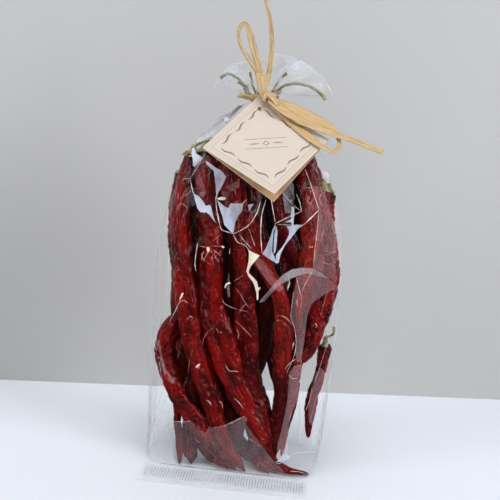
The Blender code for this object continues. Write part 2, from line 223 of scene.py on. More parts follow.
class Sheet:
    """A tree of nodes for a material or for shapes."""

    def __init__(self, tree):
        self.tree = tree

    def put(self, socket, value):
        """Joins a wire to a socket, or sets the socket to a value."""
        if isinstance(value, Wire):
            self.tree.links.new(value.socket, socket)
        else:
            socket.default_value = value

    def add(self, kind, settings=None, values=None, out=0):
        """A node of a kind with its settings, then what its sockets get. Gives one of its outputs."""
        node = self.tree.nodes.new(kind)
        for name, value in (settings or {}).items():
            setattr(node, name, value)
        for key, value in (values or {}).items():
            self.put(node.inputs[key], value)
        return Wire(self, node.outputs[out]) if node.outputs else node

    def mix(self, share, first, second):
        """A colour between two, by a share from 0 to 1."""
        first, second = ((*c, 1) if isinstance(c, tuple) and len(c) == 3 else c for c in (first, second))
        return self.add("ShaderNodeMix", {"data_type": "RGBA"}, {0: share, 6: first, 7: second}, 2)

    def noise(self, place, scale, detail=2.0, rough=0.5):
        values = {"Vector": place, "Scale": scale, "Detail": detail, "Roughness": rough}
        return self.add("ShaderNodeTexNoise", None, values)

    def veins(self, place, scale):
        """1 on thin lines that wander over a surface, and less away from them."""
        return 1 - abs(self.noise(self.stretch(place, scale), 1.0, 1.0) * 2 - 1)

    def attribute(self, name, out="Fac"):
        return self.add("ShaderNodeAttribute", {"attribute_name": name}, None, out)

    def place(self):
        return self.add("ShaderNodeTexCoord", None, None, "Object")

    def stretch(self, vector, scale):
        return self.add("ShaderNodeVectorMath", {"operation": "MULTIPLY"}, {0: vector, 1: scale})

    def step(self, wire, low, high):
        """0 below low and 1 above high."""
        values = {0: wire, 1: low, 2: high, 3: 0.0, 4: 1.0}
        return self.add("ShaderNodeMapRange", {"interpolation_type": "SMOOTHSTEP"}, values)

    def bump(self, height, distance, strength):
        values = {"Height": height, "Distance": distance, "Strength": strength}
        return self.add("ShaderNodeBump", None, values)


def new_material(name):
    """A material with its sheet and its one shader."""
    material = bpy.data.materials.new(name)
    material.use_nodes = True
    shader = material.node_tree.nodes["Principled BSDF"]
    return material, Sheet(material.node_tree), shader


def feed(sheet, shader, name, value):
    sheet.put(shader.inputs[name], value)


def most(first, *others):
    """The greatest of several wires."""
    for other in others:
        first = first.math("MAXIMUM", other)
    return first


def see_through(sheet, shader, share):
    """Mixes the shader over what is behind it, by a share from 0, clear, to 1."""
    clear = sheet.add("ShaderNodeBsdfTransparent")
    shine = Wire(sheet, shader.outputs[0])
    mixed = sheet.add("ShaderNodeMixShader", None, {0: share, 1: clear, 2: shine})
    sheet.put(sheet.tree.nodes["Material Output"].inputs["Surface"], mixed)


# Finishes.


def chilli_skin():
    """Deep red dried skin, puckered, with a waxy gloss and painted shade along each fold and where it lies
    deep.
    """
    material, sheet, shader = new_material("chilli_skin")
    skin, fold, tone_and_shade = sheet.attribute("skin", "Vector"), sheet.attribute("fold"), sheet.attribute("tone_and_shade")
    blotch = sheet.noise(sheet.stretch(skin, (0.8, 0.8, 0.8)), 1.0, 2.0, 0.5)
    grain = sheet.noise(sheet.stretch(skin, (1.8, 1.8, 1.8)), 1.0, 3.0, 0.55)
    deep = sheet.mix(sheet.step(blotch, 0.32, 0.66), (0.036, 0.0007, 0.0010), (0.186, 0.0019, 0.0015))
    warm = sheet.mix(sheet.step(grain, 0.52, 0.72) * 0.45, deep, (0.29, 0.010, 0.004))
    # Painted shade: a positive value darkens deep-lying chillies and their tops; a negative one makes the red
    # livelier.
    lively = sheet.mix((-tone_and_shade).math("MAXIMUM", 0.0) * 2.0, warm, (0.40, 0.030, 0.009))
    painted_shade = sheet.mix(tone_and_shade.math("MAXIMUM", 0.0), lively, (0.020, 0.0010, 0.0018))
    # Painted shade: darker along each fold of the skin.
    fold_shaded = sheet.mix(sheet.step(fold, 0.35, 1.0) * 0.55, painted_shade, (0.030, 0.0006, 0.0010))
    feed(sheet, shader, "Base Color", fold_shaded)
    wrinkle, cross = sheet.veins(skin, (1.3, 1.3, 1.2)), sheet.veins(skin, (1.0, 1.0, 2.2))
    feed(sheet, shader, "Roughness", 0.16 + 0.18 * grain + 0.2 * fold)
    shader.inputs["Specular IOR Level"].default_value = 0.42
    shader.inputs["Specular Tint"].default_value = (1.0, 0.26, 0.27, 1)
    shader.inputs["Coat Weight"].default_value = 0.12
    shader.inputs["Coat Roughness"].default_value = 0.05
    feed(sheet, shader, "Normal", sheet.bump(wrinkle**7.0 * -1.0 - 0.7 * cross**7.0, 0.8 * MM, 0.9))
    return material


def dry_stalk():
    """Olive green stalk and calyx, with brown streaks along its fine lengthwise ribs."""
    material, sheet, shader = new_material("dry_stalk")
    skin, fold = sheet.attribute("skin", "Vector"), sheet.attribute("fold")
    ribs = sheet.noise(sheet.stretch(skin, (7.0, 7.0, 0.7)), 1.6, 3.0)
    patch = sheet.noise(skin, 0.9, 3.0)
    green = sheet.mix(sheet.step(patch, 0.38, 0.62), (0.17, 0.17, 0.062), (0.42, 0.37, 0.20))
    brown = sheet.mix(sheet.step(ribs, 0.5, 0.8) * 0.6, green, (0.12, 0.085, 0.035))
    # Painted shade: darker along each fold of the stalk.
    feed(sheet, shader, "Base Color", sheet.mix(fold * 0.4, brown, (0.06, 0.05, 0.02)))
    feed(sheet, shader, "Roughness", 0.5 + 0.25 * ribs)
    feed(sheet, shader, "Normal", sheet.bump(ribs, 0.25 * MM, 0.7))
    return material


def clear_film():
    """Clear, glossy film: it mirrors most where it turns away, and faint scuffs make it rougher and hazier.
    """
    material, sheet, shader = new_material("clear_film")
    weight = sheet.add("ShaderNodeLayerWeight", None, {"Blend": 0.5}, "Facing")
    scuff = sheet.noise(sheet.stretch(sheet.place(), (1.0, 1.0, 0.35)), 70.0, 4.0, 0.6)
    haze = sheet.step(scuff, 0.60, 0.84) * SCUFF_SHINE
    patch = sheet.step(sheet.noise(sheet.place(), 75.0, 3.0, 0.6), 0.54, 0.74)
    see_through(sheet, shader, PLAIN_SHINE + PATCH_SHINE * patch + EDGE_SHINE * weight**EDGE_POWER + haze)
    feed(sheet, shader, "Base Color", (0.93, 0.96, 1.0, 1))
    feed(sheet, shader, "Metallic", 1 - 0.75 * sheet.step(weight, 0.45, 0.85))
    feed(sheet, shader, "Roughness", 0.13 + 0.10 * scuff)
    ripple = sheet.noise(sheet.stretch(sheet.place(), (1.0, 1.0, 0.45)), 110.0, 1.0, 0.5)
    feed(sheet, shader, "Normal", sheet.bump(ripple, 0.6 * MM, 0.3))
    return material


def film_glint(name, colour, low, high, roughness=0.3, fineness=95.0):
    """A see-through finish over the film, cloudier in some places than in others: painted reflections,
    highlights and shade for the patches and creases, and the own look of the flap and the crimp.
    """
    material, sheet, shader = new_material(name)
    cloud = sheet.noise(sheet.stretch(sheet.place(), (1.0, 1.0, 0.4)), fineness, 4.0, 0.6)
    see_through(sheet, shader, low + (high - low) * sheet.step(cloud, 0.3, 0.7))
    feed(sheet, shader, "Base Color", sheet.mix(cloud, (*(c * 0.93 for c in colour), 1), (*colour, 1)))
    feed(sheet, shader, "Roughness", roughness + 0.15 * cloud)
    return material


def raffia_fibre():
    """Straw-coloured palm strip: long pale and brown fibres with a dry sheen."""
    material, sheet, shader = new_material("raffia_fibre")
    lie = sheet.attribute("lie", "Vector")
    fibre = sheet.noise(sheet.stretch(lie, (1.0, 0.05, 1.0)), 2.6, 4.0, 0.65)
    streak = sheet.noise(sheet.stretch(lie, (0.6, 0.03, 1.0)), 1.3, 3.0, 0.6)
    broad = sheet.noise(sheet.stretch(lie, (0.12, 0.10, 1.0)), 1.0, 2.0)
    straw = sheet.mix(sheet.step(fibre, 0.3, 0.7), (0.32, 0.20, 0.085), (0.67, 0.505, 0.295))
    brown = sheet.mix(sheet.step(streak, 0.54, 0.70) * 0.75, straw, (0.27, 0.14, 0.05))
    gold = sheet.add("ShaderNodeSeparateXYZ", None, {0: lie}, 2)
    share = gold * (0.45 + 0.55 * sheet.step(broad, 0.35, 0.65))
    feed(sheet, shader, "Base Color", sheet.mix(share * 0.8, brown, (0.50, 0.31, 0.105)))
    feed(sheet, shader, "Roughness", 0.42 + 0.25 * fibre)
    feed(sheet, shader, "Normal", sheet.bump(fibre + 0.6 * streak, 0.22 * MM, 0.9))
    return material


def edge_line(sheet, from_edge, at, half_width):
    """1 on a thin ruled line at a distance from the card's edge, and 0 off it."""
    return 1 - sheet.step(abs(from_edge - at), half_width * 0.6, half_width * 1.4)


def wave_dashes(sheet, run, from_edge):
    """Swelling S-shaped dashes along a side, in mm along it and in from its edge."""
    lap = (run - DASH_FROM) / (DASH_LENGTH + DASH_GAP)
    within = lap.math("FRACT") * ((DASH_LENGTH + DASH_GAP) / DASH_LENGTH)
    sway = (within * (2 * math.pi)).math("SINE") * DASH_SWAY
    swell = DASH_SWELL * (within * math.pi).math("SINE").math("MAXIMUM", 0.0)
    stroke = 1 - sheet.step(abs(from_edge - DASH_IN + sway) - swell, 0.0, 0.22)
    begun, ended = sheet.step(lap, -0.001, 0.001), sheet.step(lap, DASHES - 0.001, DASHES + 0.001)
    return stroke * begun * (1 - ended) * (1 - sheet.step(within, 0.99, 1.0))


def ornament(sheet, level, rise):
    """A small diamond between two slim petals, with a bar above and below them."""
    bars = 1 - sheet.step(abs(abs(rise) - BAR_AT), 0.12, 0.3)
    bars = bars * (1 - sheet.step(abs(level), BAR_REACH, BAR_REACH + 0.5))
    diamond = 1 - sheet.step(abs(abs(level) + abs(rise) - DIAMOND_REACH), 0.25, 0.5)
    petals = 1 - sheet.step(abs(rise) + 0.16 * abs(abs(level) - PETAL_AT), 0.45, 0.7)
    petals = petals * sheet.step(abs(level), PETAL_FROM, PETAL_FROM + 0.2)
    petals = petals * (1 - sheet.step(abs(level), PETAL_TO, PETAL_TO + 0.2))
    return most(bars, diamond, petals)


def card_marks(sheet, down, across):
    """How dark the card's print is, by mm down one side and across the other."""
    side = TAG_SIDE / MM
    near_down, near_across = down.math("MINIMUM", side - down), across.math("MINIMUM", side - across)
    from_edge = near_down.math("MINIMUM", near_across)
    rules = most(*(edge_line(sheet, from_edge, at, half) * dark for at, half, dark in CARD_RULES))
    dashes = most(wave_dashes(sheet, down, near_across), wave_dashes(sheet, across, near_down))
    level, rise = (across - down) * math.sqrt(0.5), (across + down - side) * math.sqrt(0.5)
    return most(rules, dashes * DASH_DARK, ornament(sheet, level, rise) * ORNAMENT_DARK)


def ruled_card():
    """Cream laid card: a ruled border, brown dashes inside it and a plain ornament in the middle."""
    material, sheet, shader = new_material("ruled_card")
    parts = sheet.add("ShaderNodeSeparateXYZ", None, {0: sheet.attribute("lay", "Vector")}).socket.node
    down, across, printed = (Wire(sheet, output) for output in parts.outputs)
    marks = card_marks(sheet, down * (TAG_SIDE / MM), across * (TAG_SIDE / MM)) * printed
    fibres = sheet.noise(sheet.place(), 900.0, 4.0, 0.7)
    mottle = sheet.noise(sheet.place(), 120.0, 3.0)
    cream = sheet.mix(mottle, (0.53, 0.46, 0.40), (0.59, 0.515, 0.445))
    paper = sheet.mix(sheet.step(fibres, 0.55, 0.8) * 0.25, cream, (0.47, 0.39, 0.32))
    ink = sheet.mix(mottle, (0.13, 0.055, 0.030), (0.20, 0.10, 0.06))
    inner = sheet.mix(sheet.step(mottle, 0.35, 0.65), (0.50, 0.30, 0.14), (0.62, 0.42, 0.22))
    feed(sheet, shader, "Base Color", sheet.mix(marks, sheet.mix(printed, inner, paper), ink))
    feed(sheet, shader, "Roughness", 0.62 + 0.2 * fibres)
    feed(sheet, shader, "Normal", sheet.bump(fibres, 0.05 * MM, 0.6))
    return material


# Meshes.


def link(name, mesh, material=None):
    """The mesh as an object of the scene, with its material."""
    piece = bpy.data.objects.new(name, mesh)
    bpy.context.scene.collection.objects.link(piece)
    if material:
        mesh.materials.clear()
        mesh.materials.append(material)
    return piece


def mesh_from(name, shape, smooth=True):
    """The mesh of a shape, which is freed."""
    mesh = bpy.data.meshes.new(name)
    shape.to_mesh(mesh)
    shape.free()
    if smooth:
        mesh.shade_smooth()
    return mesh


def applied(piece):
    """The piece with its modifiers worked into its mesh."""
    evaluated = piece.evaluated_get(bpy.context.evaluated_depsgraph_get())
    mesh = bpy.data.meshes.new_from_object(evaluated)
    piece.modifiers.clear()
    piece.data = mesh
    return piece


def loft(shape, rings, capped=False, round_again=False):
    """A skin over rings of as many points each, its ends closed or joined. Gives its rows of vertices."""
    rows = [[shape.verts.new(point) for point in ring] for ring in rings]
    count = len(rows[0])
    for low, high in zip(rows, rows[1:] + rows[:1] if round_again else rows[1:]):
        for i in range(count):
            j = (i + 1) % count
            shape.faces.new((low[i], low[j], high[j], high[i]))
    for row in (rows[0], rows[-1]) if capped else ():
        middle = shape.verts.new(sum((v.co for v in row), Vector()) / count)
        for i in range(count):
            shape.faces.new((row[i], row[(i + 1) % count], middle))
    return rows


def close_sheet(shape, sides):
    """Faces over the two sides of a sheet, each in rows of vertices, and round its rim."""
    rows, columns = len(sides[0]) - 1, len(sides[0][0]) - 1
    for side in sides:
        for low, high in zip(side, side[1:]):
            for i in range(columns):
                shape.faces.new((low[i], low[i + 1], high[i + 1], high[i]))
    rim = [(0, i) for i in range(columns)] + [(j, columns) for j in range(rows)]
    rim += [(rows, columns - i) for i in range(columns)] + [(rows - j, 0) for j in range(rows)]
    near, far = sides
    for (j, i), (m, n) in zip(rim, rim[1:] + rim[:1]):
        shape.faces.new((near[j][i], near[m][n], far[m][n], far[j][i]))
    bmesh.ops.recalc_face_normals(shape, faces=shape.faces)


def lines_object(name, lines):
    """Open lines as edges. Each line gives points, and the thickness at each, a seed and its tone and painted
    shade.
    """
    mesh = bpy.data.meshes.new(name)
    points, edges, thick, seeds, tones_and_shades = [], [], [], [], []
    for line in lines:
        first = len(points)
        points += [tuple(p) for p in line["points"]]
        edges += [(k, k + 1) for k in range(first, len(points) - 1)]
        thick += list(line["thick"])
        seeds += [line["seed"]] * len(line["points"])
        tones_and_shades += list(np.broadcast_to(line["tone_and_shade"], len(line["points"])))
    mesh.from_pydata(points, edges, [])
    for label, values in (("thick", thick), ("seed", seeds), ("tone_and_shade", tones_and_shades)):
        mesh.attributes.new(label, "FLOAT", "POINT").data.foreach_set("value", values)
    return link(name, mesh)


def named(sheet, label):
    """A number that the mesh stores at its points."""
    return sheet.add("GeometryNodeInputNamedAttribute", {"data_type": "FLOAT"}, {"Name": label})


def store(sheet, shape, label, value, kind="FLOAT"):
    """The shape with a value stored at its points."""
    settings = {"data_type": kind, "domain": "POINT"}
    values = {"Geometry": shape, "Name": label, "Value": value}
    return sheet.add("GeometryNodeStoreNamedAttribute", settings, values)


def round_skin(sheet, want):
    """A round skin along each line, that stores how far along it and how far round it each point lies."""
    curve = sheet.add("GeometryNodeMeshToCurve", None, {"Mesh": want["Lines"]})
    curve = sheet.add("GeometryNodeCurveSplineType", {"spline_type": "CATMULL_ROM"}, {"Curve": curve})
    curve = sheet.add("GeometryNodeResampleCurve", None, {"Curve": curve, "Count": want["Segments"]})
    curve = store(sheet, curve, "along", sheet.add("GeometryNodeSplineParameter"))
    ring = sheet.add("GeometryNodeCurvePrimitiveCircle", None, {"Resolution": want["Sides"], "Radius": 1.0})
    ring = store(sheet, ring, "around", sheet.add("GeometryNodeSplineParameter"))
    values = {"Curve": curve, "Profile Curve": ring, "Scale": named(sheet, "thick"), "Fill Caps": True}
    return sheet.add("GeometryNodeCurveToMesh", None, values)


def sunken(sheet, want, turn, along, seed):
    """How far a skin sinks in, as a share of its thickness, and how folded it is."""

    def field(ring_scale, length_scale, shift):
        parts = {
            0: turn.math("COSINE") * ring_scale + seed * 7.31 + shift,
            1: turn.math("SINE") * ring_scale + seed * 3.17,
            2: along * length_scale + seed * 5.9,
        }
        return sheet.noise(sheet.add("ShaderNodeCombineXYZ", None, parts), 1.0, 1.0, 0.55)

    ridges, laps = want["Ridges"], want["Laps"]
    fold = (1 - abs(field(ridges, laps, 0.0) * 2 - 1)) ** 7.0
    pucker = (1 - abs(field(ridges * 1.6, laps * 4.0, 23.0) * 2 - 1)) ** 5.0
    dent = (field(ridges * 0.45, laps * 0.9, 11.0) - 0.46).math("MAXIMUM", 0.0) * 4.0
    twist = (turn + seed * 4.0 + along * 3.5).math("SINE")
    sink = want["Flatten"] * (twist * twist) + want["Dent"] * dent
    return sink + want["Wrinkle"] * fold + want["Pucker"] * pucker, fold


def skin_place(sheet, turn, along, seed):
    """Where a point lies on its skin, unrolled along its line, with a shift of its own for each line."""
    parts = {0: turn.math("COSINE"), 1: turn.math("SINE"), 2: along * 12.0}
    lie = sheet.add("ShaderNodeCombineXYZ", None, parts)
    own = sheet.add("ShaderNodeCombineXYZ", None, {0: seed * 2.3, 1: seed * 1.7, 2: seed * 4.1})
    return sheet.add("ShaderNodeVectorMath", {"operation": "ADD"}, {0: lie, 1: own})


def add_sockets(tree):
    """What the growing tree takes and gives."""
    numbers = ("Flatten", "Dent", "Wrinkle", "Pucker", "Ridges", "Laps")
    wanted = [("Lines", "Geometry"), ("Segments", "Int"), ("Sides", "Int")]
    wanted += [(name, "Float") for name in numbers] + [("Finish", "Material")]
    for name, kind in wanted:
        tree.interface.new_socket(name, in_out="INPUT", socket_type="NodeSocket" + kind)
    tree.interface.new_socket("Skin", in_out="OUTPUT", socket_type="NodeSocketGeometry")


def growing_tree():
    """Grows a skin along each line: round, then flattened, dented and wrinkled along its length."""
    tree = bpy.data.node_groups.new("grow_skin", "GeometryNodeTree")
    add_sockets(tree)
    sheet = Sheet(tree)
    given = tree.nodes.new("NodeGroupInput")
    want = {socket.name: Wire(sheet, socket) for socket in given.outputs}
    skin = round_skin(sheet, want)
    turn = named(sheet, "around") * (2 * math.pi)
    along, seed, thick = (named(sheet, label) for label in ("along", "seed", "thick"))
    sink, fold = sunken(sheet, want, turn, along, seed)
    scaled = {0: sheet.add("GeometryNodeInputNormal"), "Scale": -(sink * thick)}
    offset = sheet.add("ShaderNodeVectorMath", {"operation": "SCALE"}, scaled)
    skin = store(sheet, skin, "skin", skin_place(sheet, turn, along, seed), "FLOAT_VECTOR")
    skin = store(sheet, skin, "fold", fold)
    steps = (
        ("GeometryNodeSetPosition", {"Offset": offset}),
        ("GeometryNodeSetShadeSmooth", {"Shade Smooth": True}),
        ("GeometryNodeRealizeInstances", {}),
        ("GeometryNodeSetMaterial", {"Material": want["Finish"]}),
    )
    for kind, values in steps:
        skin = sheet.add(kind, None, {"Geometry": skin, **values})
    sheet.put(tree.nodes.new("NodeGroupOutput").inputs[0], skin)
    return tree


def grown(name, lines, tree, finish, **sizes):
    """The plain mesh that a tree grows along lines."""
    guide = lines_object(name + "_lines", lines)
    grow = guide.modifiers.new("grow", "NODES")
    grow.node_group = tree
    given = sizes | {"Finish": finish}
    for socket in tree.interface.items_tree:
        if socket.in_out == "INPUT" and socket.name in given:
            grow[socket.identifier] = given[socket.name]
    evaluated = guide.evaluated_get(bpy.context.evaluated_depsgraph_get())
    mesh = bpy.data.meshes.new_from_object(evaluated)
    bpy.data.objects.remove(guide, do_unlink=True)
    mesh.name = name
    return link(name, mesh)


# The film.


def bag_ring(place, turns, jitter=None):
    """Points of the film at a share of its way up, at each turn from the right, anticlockwise from above."""
    ring = []
    for k, turn in enumerate(turns):
        row = smooth_row(BAG_PROFILE, place + (jitter[k] if jitter else 0.0))
        height, left, right, front, back, square = row
        z = height * MM
        pleat = PLEAT_DEPTH * ease(z, PLEAT_FROM, PLEAT_FULL) * (1 - ease(z, PLEAT_FADE, PLEAT_TO))
        tuck = GUSSET_DEPTH * ease(z, GUSSET_FROM, GUSSET_TO) * (1 - ease(z, PLEAT_FULL, PLEAT_TO))
        across, along = math.cos(turn), math.sin(turn)
        x = (right if across > 0 else left) * math.copysign(abs(across) ** (2 / square), across)
        y = (back if along > 0 else front) * math.copysign(abs(along) ** (2 / square), along)
        swell = 1 + pleat * math.cos(PLEATS * turn + PLEAT_SWAY * math.sin(2 * turn))
        from_side = min(turn % (2 * math.pi), abs(turn - math.pi), abs(2 * math.pi - turn))
        x *= 1 - tuck * math.exp(-((from_side / GUSSET_HALF_ANGLE) ** 2))
        ring.append(Vector((x * swell * MM, y * swell * MM, z)))
    return ring


def flare_ring(share, inset, turns):
    """A ring of the film's open mouth at a share of the way from the neck to the rim."""
    ring = []
    spread = share**FLARE_SPREAD
    for turn in turns:
        across, along = math.cos(turn), math.sin(turn)
        reach = (FLARE_RIGHT if across > 0 else FLARE_LEFT) - inset
        rise = (FLARE_RISE + FLARE_TILT * across) * abs(along) ** FLARE_ARCH
        rise += FLARE_SIDE_LIFT * inset * (1 - abs(along))
        rise *= 1 + sum(high * math.sin(count * turn + start) for count, high, start in RIM_WAVES)
        rim_y = FLARE_BACK + (FLARE_DEPTH - inset) * along
        rim_y += FLARE_PLEAT_DEPTH * math.cos(FLARE_PLEATS * turn + math.sin(turn)) * share
        x = (NECK_X * share + NECK_ACROSS * across) * (1 - spread) + (NECK_X + reach * across) * spread
        y = NECK_DEEP * along * (1 - spread) + rim_y * spread
        ring.append(Vector((x, y, NECK_HEIGHT + rise * share**FLARE_CLIMB + inset * (1 - share))))
    return ring


def slack_rings(even):
    """Rings of the film up to the neck, uneven in turn, height and reach where the film isn't tight."""
    draw = random.Random(7)
    cell_turn, cell_rise = 2 * math.pi / FILM_SIDES, 1.0 / FILM_RINGS
    rings = [bag_ring(0.0, even)]
    for r in range(1, FILM_RINGS + 1):
        place = r / FILM_RINGS
        loose = ease(place, 0.0, FILM_TIGHT_BELOW) * (1.0 - ease(place, FILM_SLACK_TO, FILM_TIGHT_FROM))
        turns = [t + draw.uniform(-1, 1) * FILM_JITTER * cell_turn * loose for t in even]
        lifts = [draw.uniform(-1, 1) * FILM_JITTER * cell_rise * loose for _ in even]
        ring = bag_ring(place, turns, lifts)
        for point in ring:
            away = Vector((point.x, point.y, 0)).normalized()
            point += away * draw.uniform(-CRUMPLE_IN, CRUMPLE_OUT) * CRUMPLE * loose
        rings.append(ring)
    return rings


def film_skin():
    """The bag's film: uneven flat facets with soft creases, gathered at the neck and open above it."""
    even = [2 * math.pi * k / FILM_SIDES for k in range(FILM_SIDES)]
    rings = slack_rings(even)
    rings += [flare_ring(k / FLARE_STEPS, 0.0, even) for k in range(1, FLARE_STEPS + 1)]
    inner = [1 - (1 - FLARE_INNER_FROM) * k / FLARE_STEPS for k in range(FLARE_STEPS + 1)]
    rings += [flare_ring(share, FLARE_WALL, even) for share in inner]
    shape = bmesh.new()
    loft(shape, rings, capped=True)
    facets = [f for f in shape.faces if f.calc_center_median().z < NECK_HEIGHT]
    bmesh.ops.triangulate(shape, faces=facets, quad_method="SHORT_EDGE")
    bmesh.ops.recalc_face_normals(shape, faces=shape.faces)
    piece = link("film", mesh_from("film", shape), clear_film())
    finer = piece.modifiers.new("finer", "SUBSURF")
    finer.subdivision_type = "SIMPLE"
    finer.levels = finer.render_levels = 2
    soften = piece.modifiers.new("soften", "SMOOTH")
    soften.factor, soften.iterations = 0.5, 2
    for vertex in applied(piece).data.vertices:
        vertex.co.z = max(vertex.co.z, 0.0)
    return piece


def film_reach(z):
    """The film's left, right, front and back reach in mm at a height, and how square it is."""
    rows = np.array(BAG_PROFILE)
    return [float(np.interp(z / MM, rows[:, 0], rows[:, k])) for k in range(1, 6)]


def film_front_y(x, z):
    """Where the film's front is, at a place across and up."""
    left, right, front, _, square = film_reach(z)
    across = min(abs(x / MM) / (right if x > 0 else left), 0.985)
    return -front * (1 - across**square) ** (1 / square) * MM


def kept_inside(spot, half):
    """The spot, or the nearest towards the bag's axis where a thing of a half thickness clears the film."""
    left, right, front, back, square = film_reach(spot.z)
    across = abs(spot.x) / max((right if spot.x > 0 else left) * MM - half, 1 * MM)
    along = abs(spot.y) / max((back if spot.y > 0 else front) * MM - half, 1 * MM)
    share = max((across**square + along**square) ** (1 / square), 1.0)
    return Vector((spot.x / share, spot.y / share, max(spot.z, half * 1.25 + BASE_GAP)))


BASE_GAP = 0.3 * MM
# A chilli's shape: its width at the very top, where it is full, how its tip rounds off and how thin it ends.
TOP_WIDTH, FULL_FROM, TIP_POWER, TIP_WIDTH = 0.74, 0.07, 0.62, 0.05
CHILLI_SWELL, CHILLI_ROWS = 1.10, 36
# How much painted shade darkens a chilli's top, and where along its length the shaded top ends and a shaded
# foot sets in.
TOP_SHADE, TOP_SHADE_FROM, TOP_SHADE_TO, FOOT_SHADE_FROM, FOOT_SHADE_TO = 0.32, 0.03, 0.26, 0.69, 0.76
# Each chilli's thickness and distance behind the film in mm, how blunt its tip is, its tone and shade
# (painted shade above 0, a livelier red below 0), and its route down the picture. A point with a third number
# has its own distance behind the film.
FRONT_CHILLIES = {
    "left": (12.6, 1.5, 9.0, 0.0, (
        (191, 153), (185.5, 171), (182, 200), (181, 234), (183, 262), (186, 290), (190, 318),
        (192.5, 340), (197.5, 358), (203, 376), (210.5, 394), (216, 412), (221, 428), (231, 450),
        (245, 475))),
    "left_bulge": (12.8, 1.0, 8.0, 0.0, (
        (196, 314, 15), (183, 321, 13), (171, 330, 5), (164.5, 343), (166, 358), (171, 375), (176.5, 392),
        (187, 409), (199, 426), (209, 441), (221, 457), (235, 475))),
    "main": (15.4, 0.8, 8.0, 0.0, (
        (206, 152, 4), (206, 172, 3), (209, 197), (211.5, 225), (211, 252), (209.5, 271), (209.5, 290),
        (212.5, 312), (217.5, 328), (221.5, 342), (226, 356), (232, 373), (240, 390), (248, 405),
        (256, 420), (264, 437), (270, 449), (276, 461))),
    "centre": (12.8, 4.0, 7.0, 0.12, (
        (226, 156), (228, 175), (230, 195), (233, 218), (239, 245), (243, 270), (244, 302), (245.5, 325),
        (247, 345), (247.5, 365), (252, 384), (259, 402), (267, 421), (273, 441))),
    "right_centre": (12.2, 1.2, 7.0, -0.08, (
        (242, 156, 14), (244, 180, 13), (247, 205, 11), (252, 235, 6), (260, 257), (268, 272), (277, 288),
        (282, 305), (283, 322), (283, 338), (282, 354), (280, 372), (280, 390), (279, 410), (277, 432),
        (275, 456))),
    "pale_covered": (7.6, 4.0, 3.0, 0.2, (
        (299, 325, 9), (298, 345, 7), (296, 365), (294, 385), (291.5, 405), (286, 428), (281, 456))),
    "upper_right": (12.4, 3.0, 3.4, -0.10, (
        (306, 150), (308, 172), (310, 190), (311, 212), (310, 236), (307, 260), (303, 285), (300, 310),
        (298, 332))),
    "outer_right": (14.4, 3.0, 3.6, 0.0, (
        (328.5, 189), (330, 203), (330.6, 222), (330.5, 245), (329, 268), (326, 290), (319, 312),
        (314, 332), (309, 350), (302, 363))),
    "upper_left_edge": (11.5, 9.0, 3.6, 0.30, (
        (184, 172), (180, 195), (178.6, 225), (178, 258), (178.6, 288), (176, 308), (173, 323))),
    "left_finger": (7.2, 5.0, 4.0, 0.25, (
        (190, 330, 14), (184, 360, 13), (178, 392, 11), (178, 415, 9), (179, 440), (179.5, 468, 2))),
    "left_blunt": (10.4, 6.0, 14.0, 0.4, (
        (198, 310, 12), (196, 345, 12), (193, 380, 12), (191, 410, 10), (190, 440), (190.5, 472, 3))),
    "lying_tip": (9.6, 3.0, 1.7, 0.1, (
        (248, 400, 14), (255, 430, 11), (262, 454, 6), (274, 471), (290, 476.6, 1), (308, 479.6, 0.6))),
    "second_left": (12.4, 12.0, 3.6, 0.65, (
        (199, 158, 6), (199, 180), (198, 210), (198, 245), (201, 285), (206, 325), (212, 360), (221, 395),
        (231, 425), (244, 458))),
    "second_middle": (12.0, 15.0, 3.6, 0.7, (
        (216, 156), (218, 190), (222, 225), (226, 260), (228, 295), (229, 330), (233, 360), (240, 390),
        (247, 420), (255, 452))),
    "second_centre": (13.0, 13.0, 3.2, 0.8, (
        (254, 160), (256, 200), (260, 235), (264, 268), (266, 300), (265, 328), (258.6, 352), (251, 380),
        (243, 415), (238, 450))),
    "second_right": (12.6, 9.0, 3.0, 0.65, (
        (275, 150), (277, 190), (284, 225), (292, 250), (297, 275), (298, 300), (293, 328), (287, 350))),
    "third_right": (12.4, 9.0, 3.0, 0.1, (
        (304, 156), (310, 175), (315, 202), (318, 235), (317, 270), (312, 300), (307, 330), (303, 352))),
    "deep_centre": (12.0, 24.0, 3.4, 0.9, (
        (270, 165), (268, 200), (268, 235), (272, 270), (273, 300), (272, 330), (274, 353), (281, 392),
        (274, 425), (270, 455))),
    "deep_left": (12.0, 24.0, 3.4, 0.9, (
        (186, 172), (184, 210), (186, 250), (190, 290), (196, 330), (204, 368), (210, 400), (214, 432),
        (220, 462))),
    "foot_left": (10.5, 8.0, 3.0, 0.25, (
        (214, 360, 18), (208, 395, 16), (202, 420, 12), (203, 438, 8), (213, 457, 5), (228, 473, 2))),
    "foot_middle": (12.0, 9.0, 3.2, 0.3, (
        (226, 370, 18), (228, 400, 14), (234, 425, 11), (243, 448, 8), (254, 468, 5), (268, 480, 2))),
    "foot_right": (10.5, 12.0, 3.0, 0.2, (
        (262, 405, 20), (258, 425, 16), (256, 442), (258, 456), (266, 468), (280, 473))),
    "small_right": (8.2, 24.0, 3.4, 0.0, (
        (325, 344), (323.6, 354), (320.5, 370, 26), (315, 388, 29), (311, 406, 32), (308.8, 424, 35),
        (308.2, 438, 37))),
}
NEAR_LAYER = (
    "left", "left_bulge", "main", "centre", "right_centre", "pale_covered", "upper_right", "outer_right",
    "lying_tip", "small_right",
)
# Stalks that show on their own, as routes in the picture.
SHOWN_STALKS = {
    "small_right": ((329, 336.6), (333.4, 334), (338.4, 331.3), (340.3, 327.4)),
    "outer_right": ((331.6, 190), (331, 186.6), (329.4, 183)),
}
# How much painted shade darkens the lowest part of a chilli, where it lies in the others' shade.
FOOT_SHADES = {"right_centre": 0.85, "centre": 0.2}
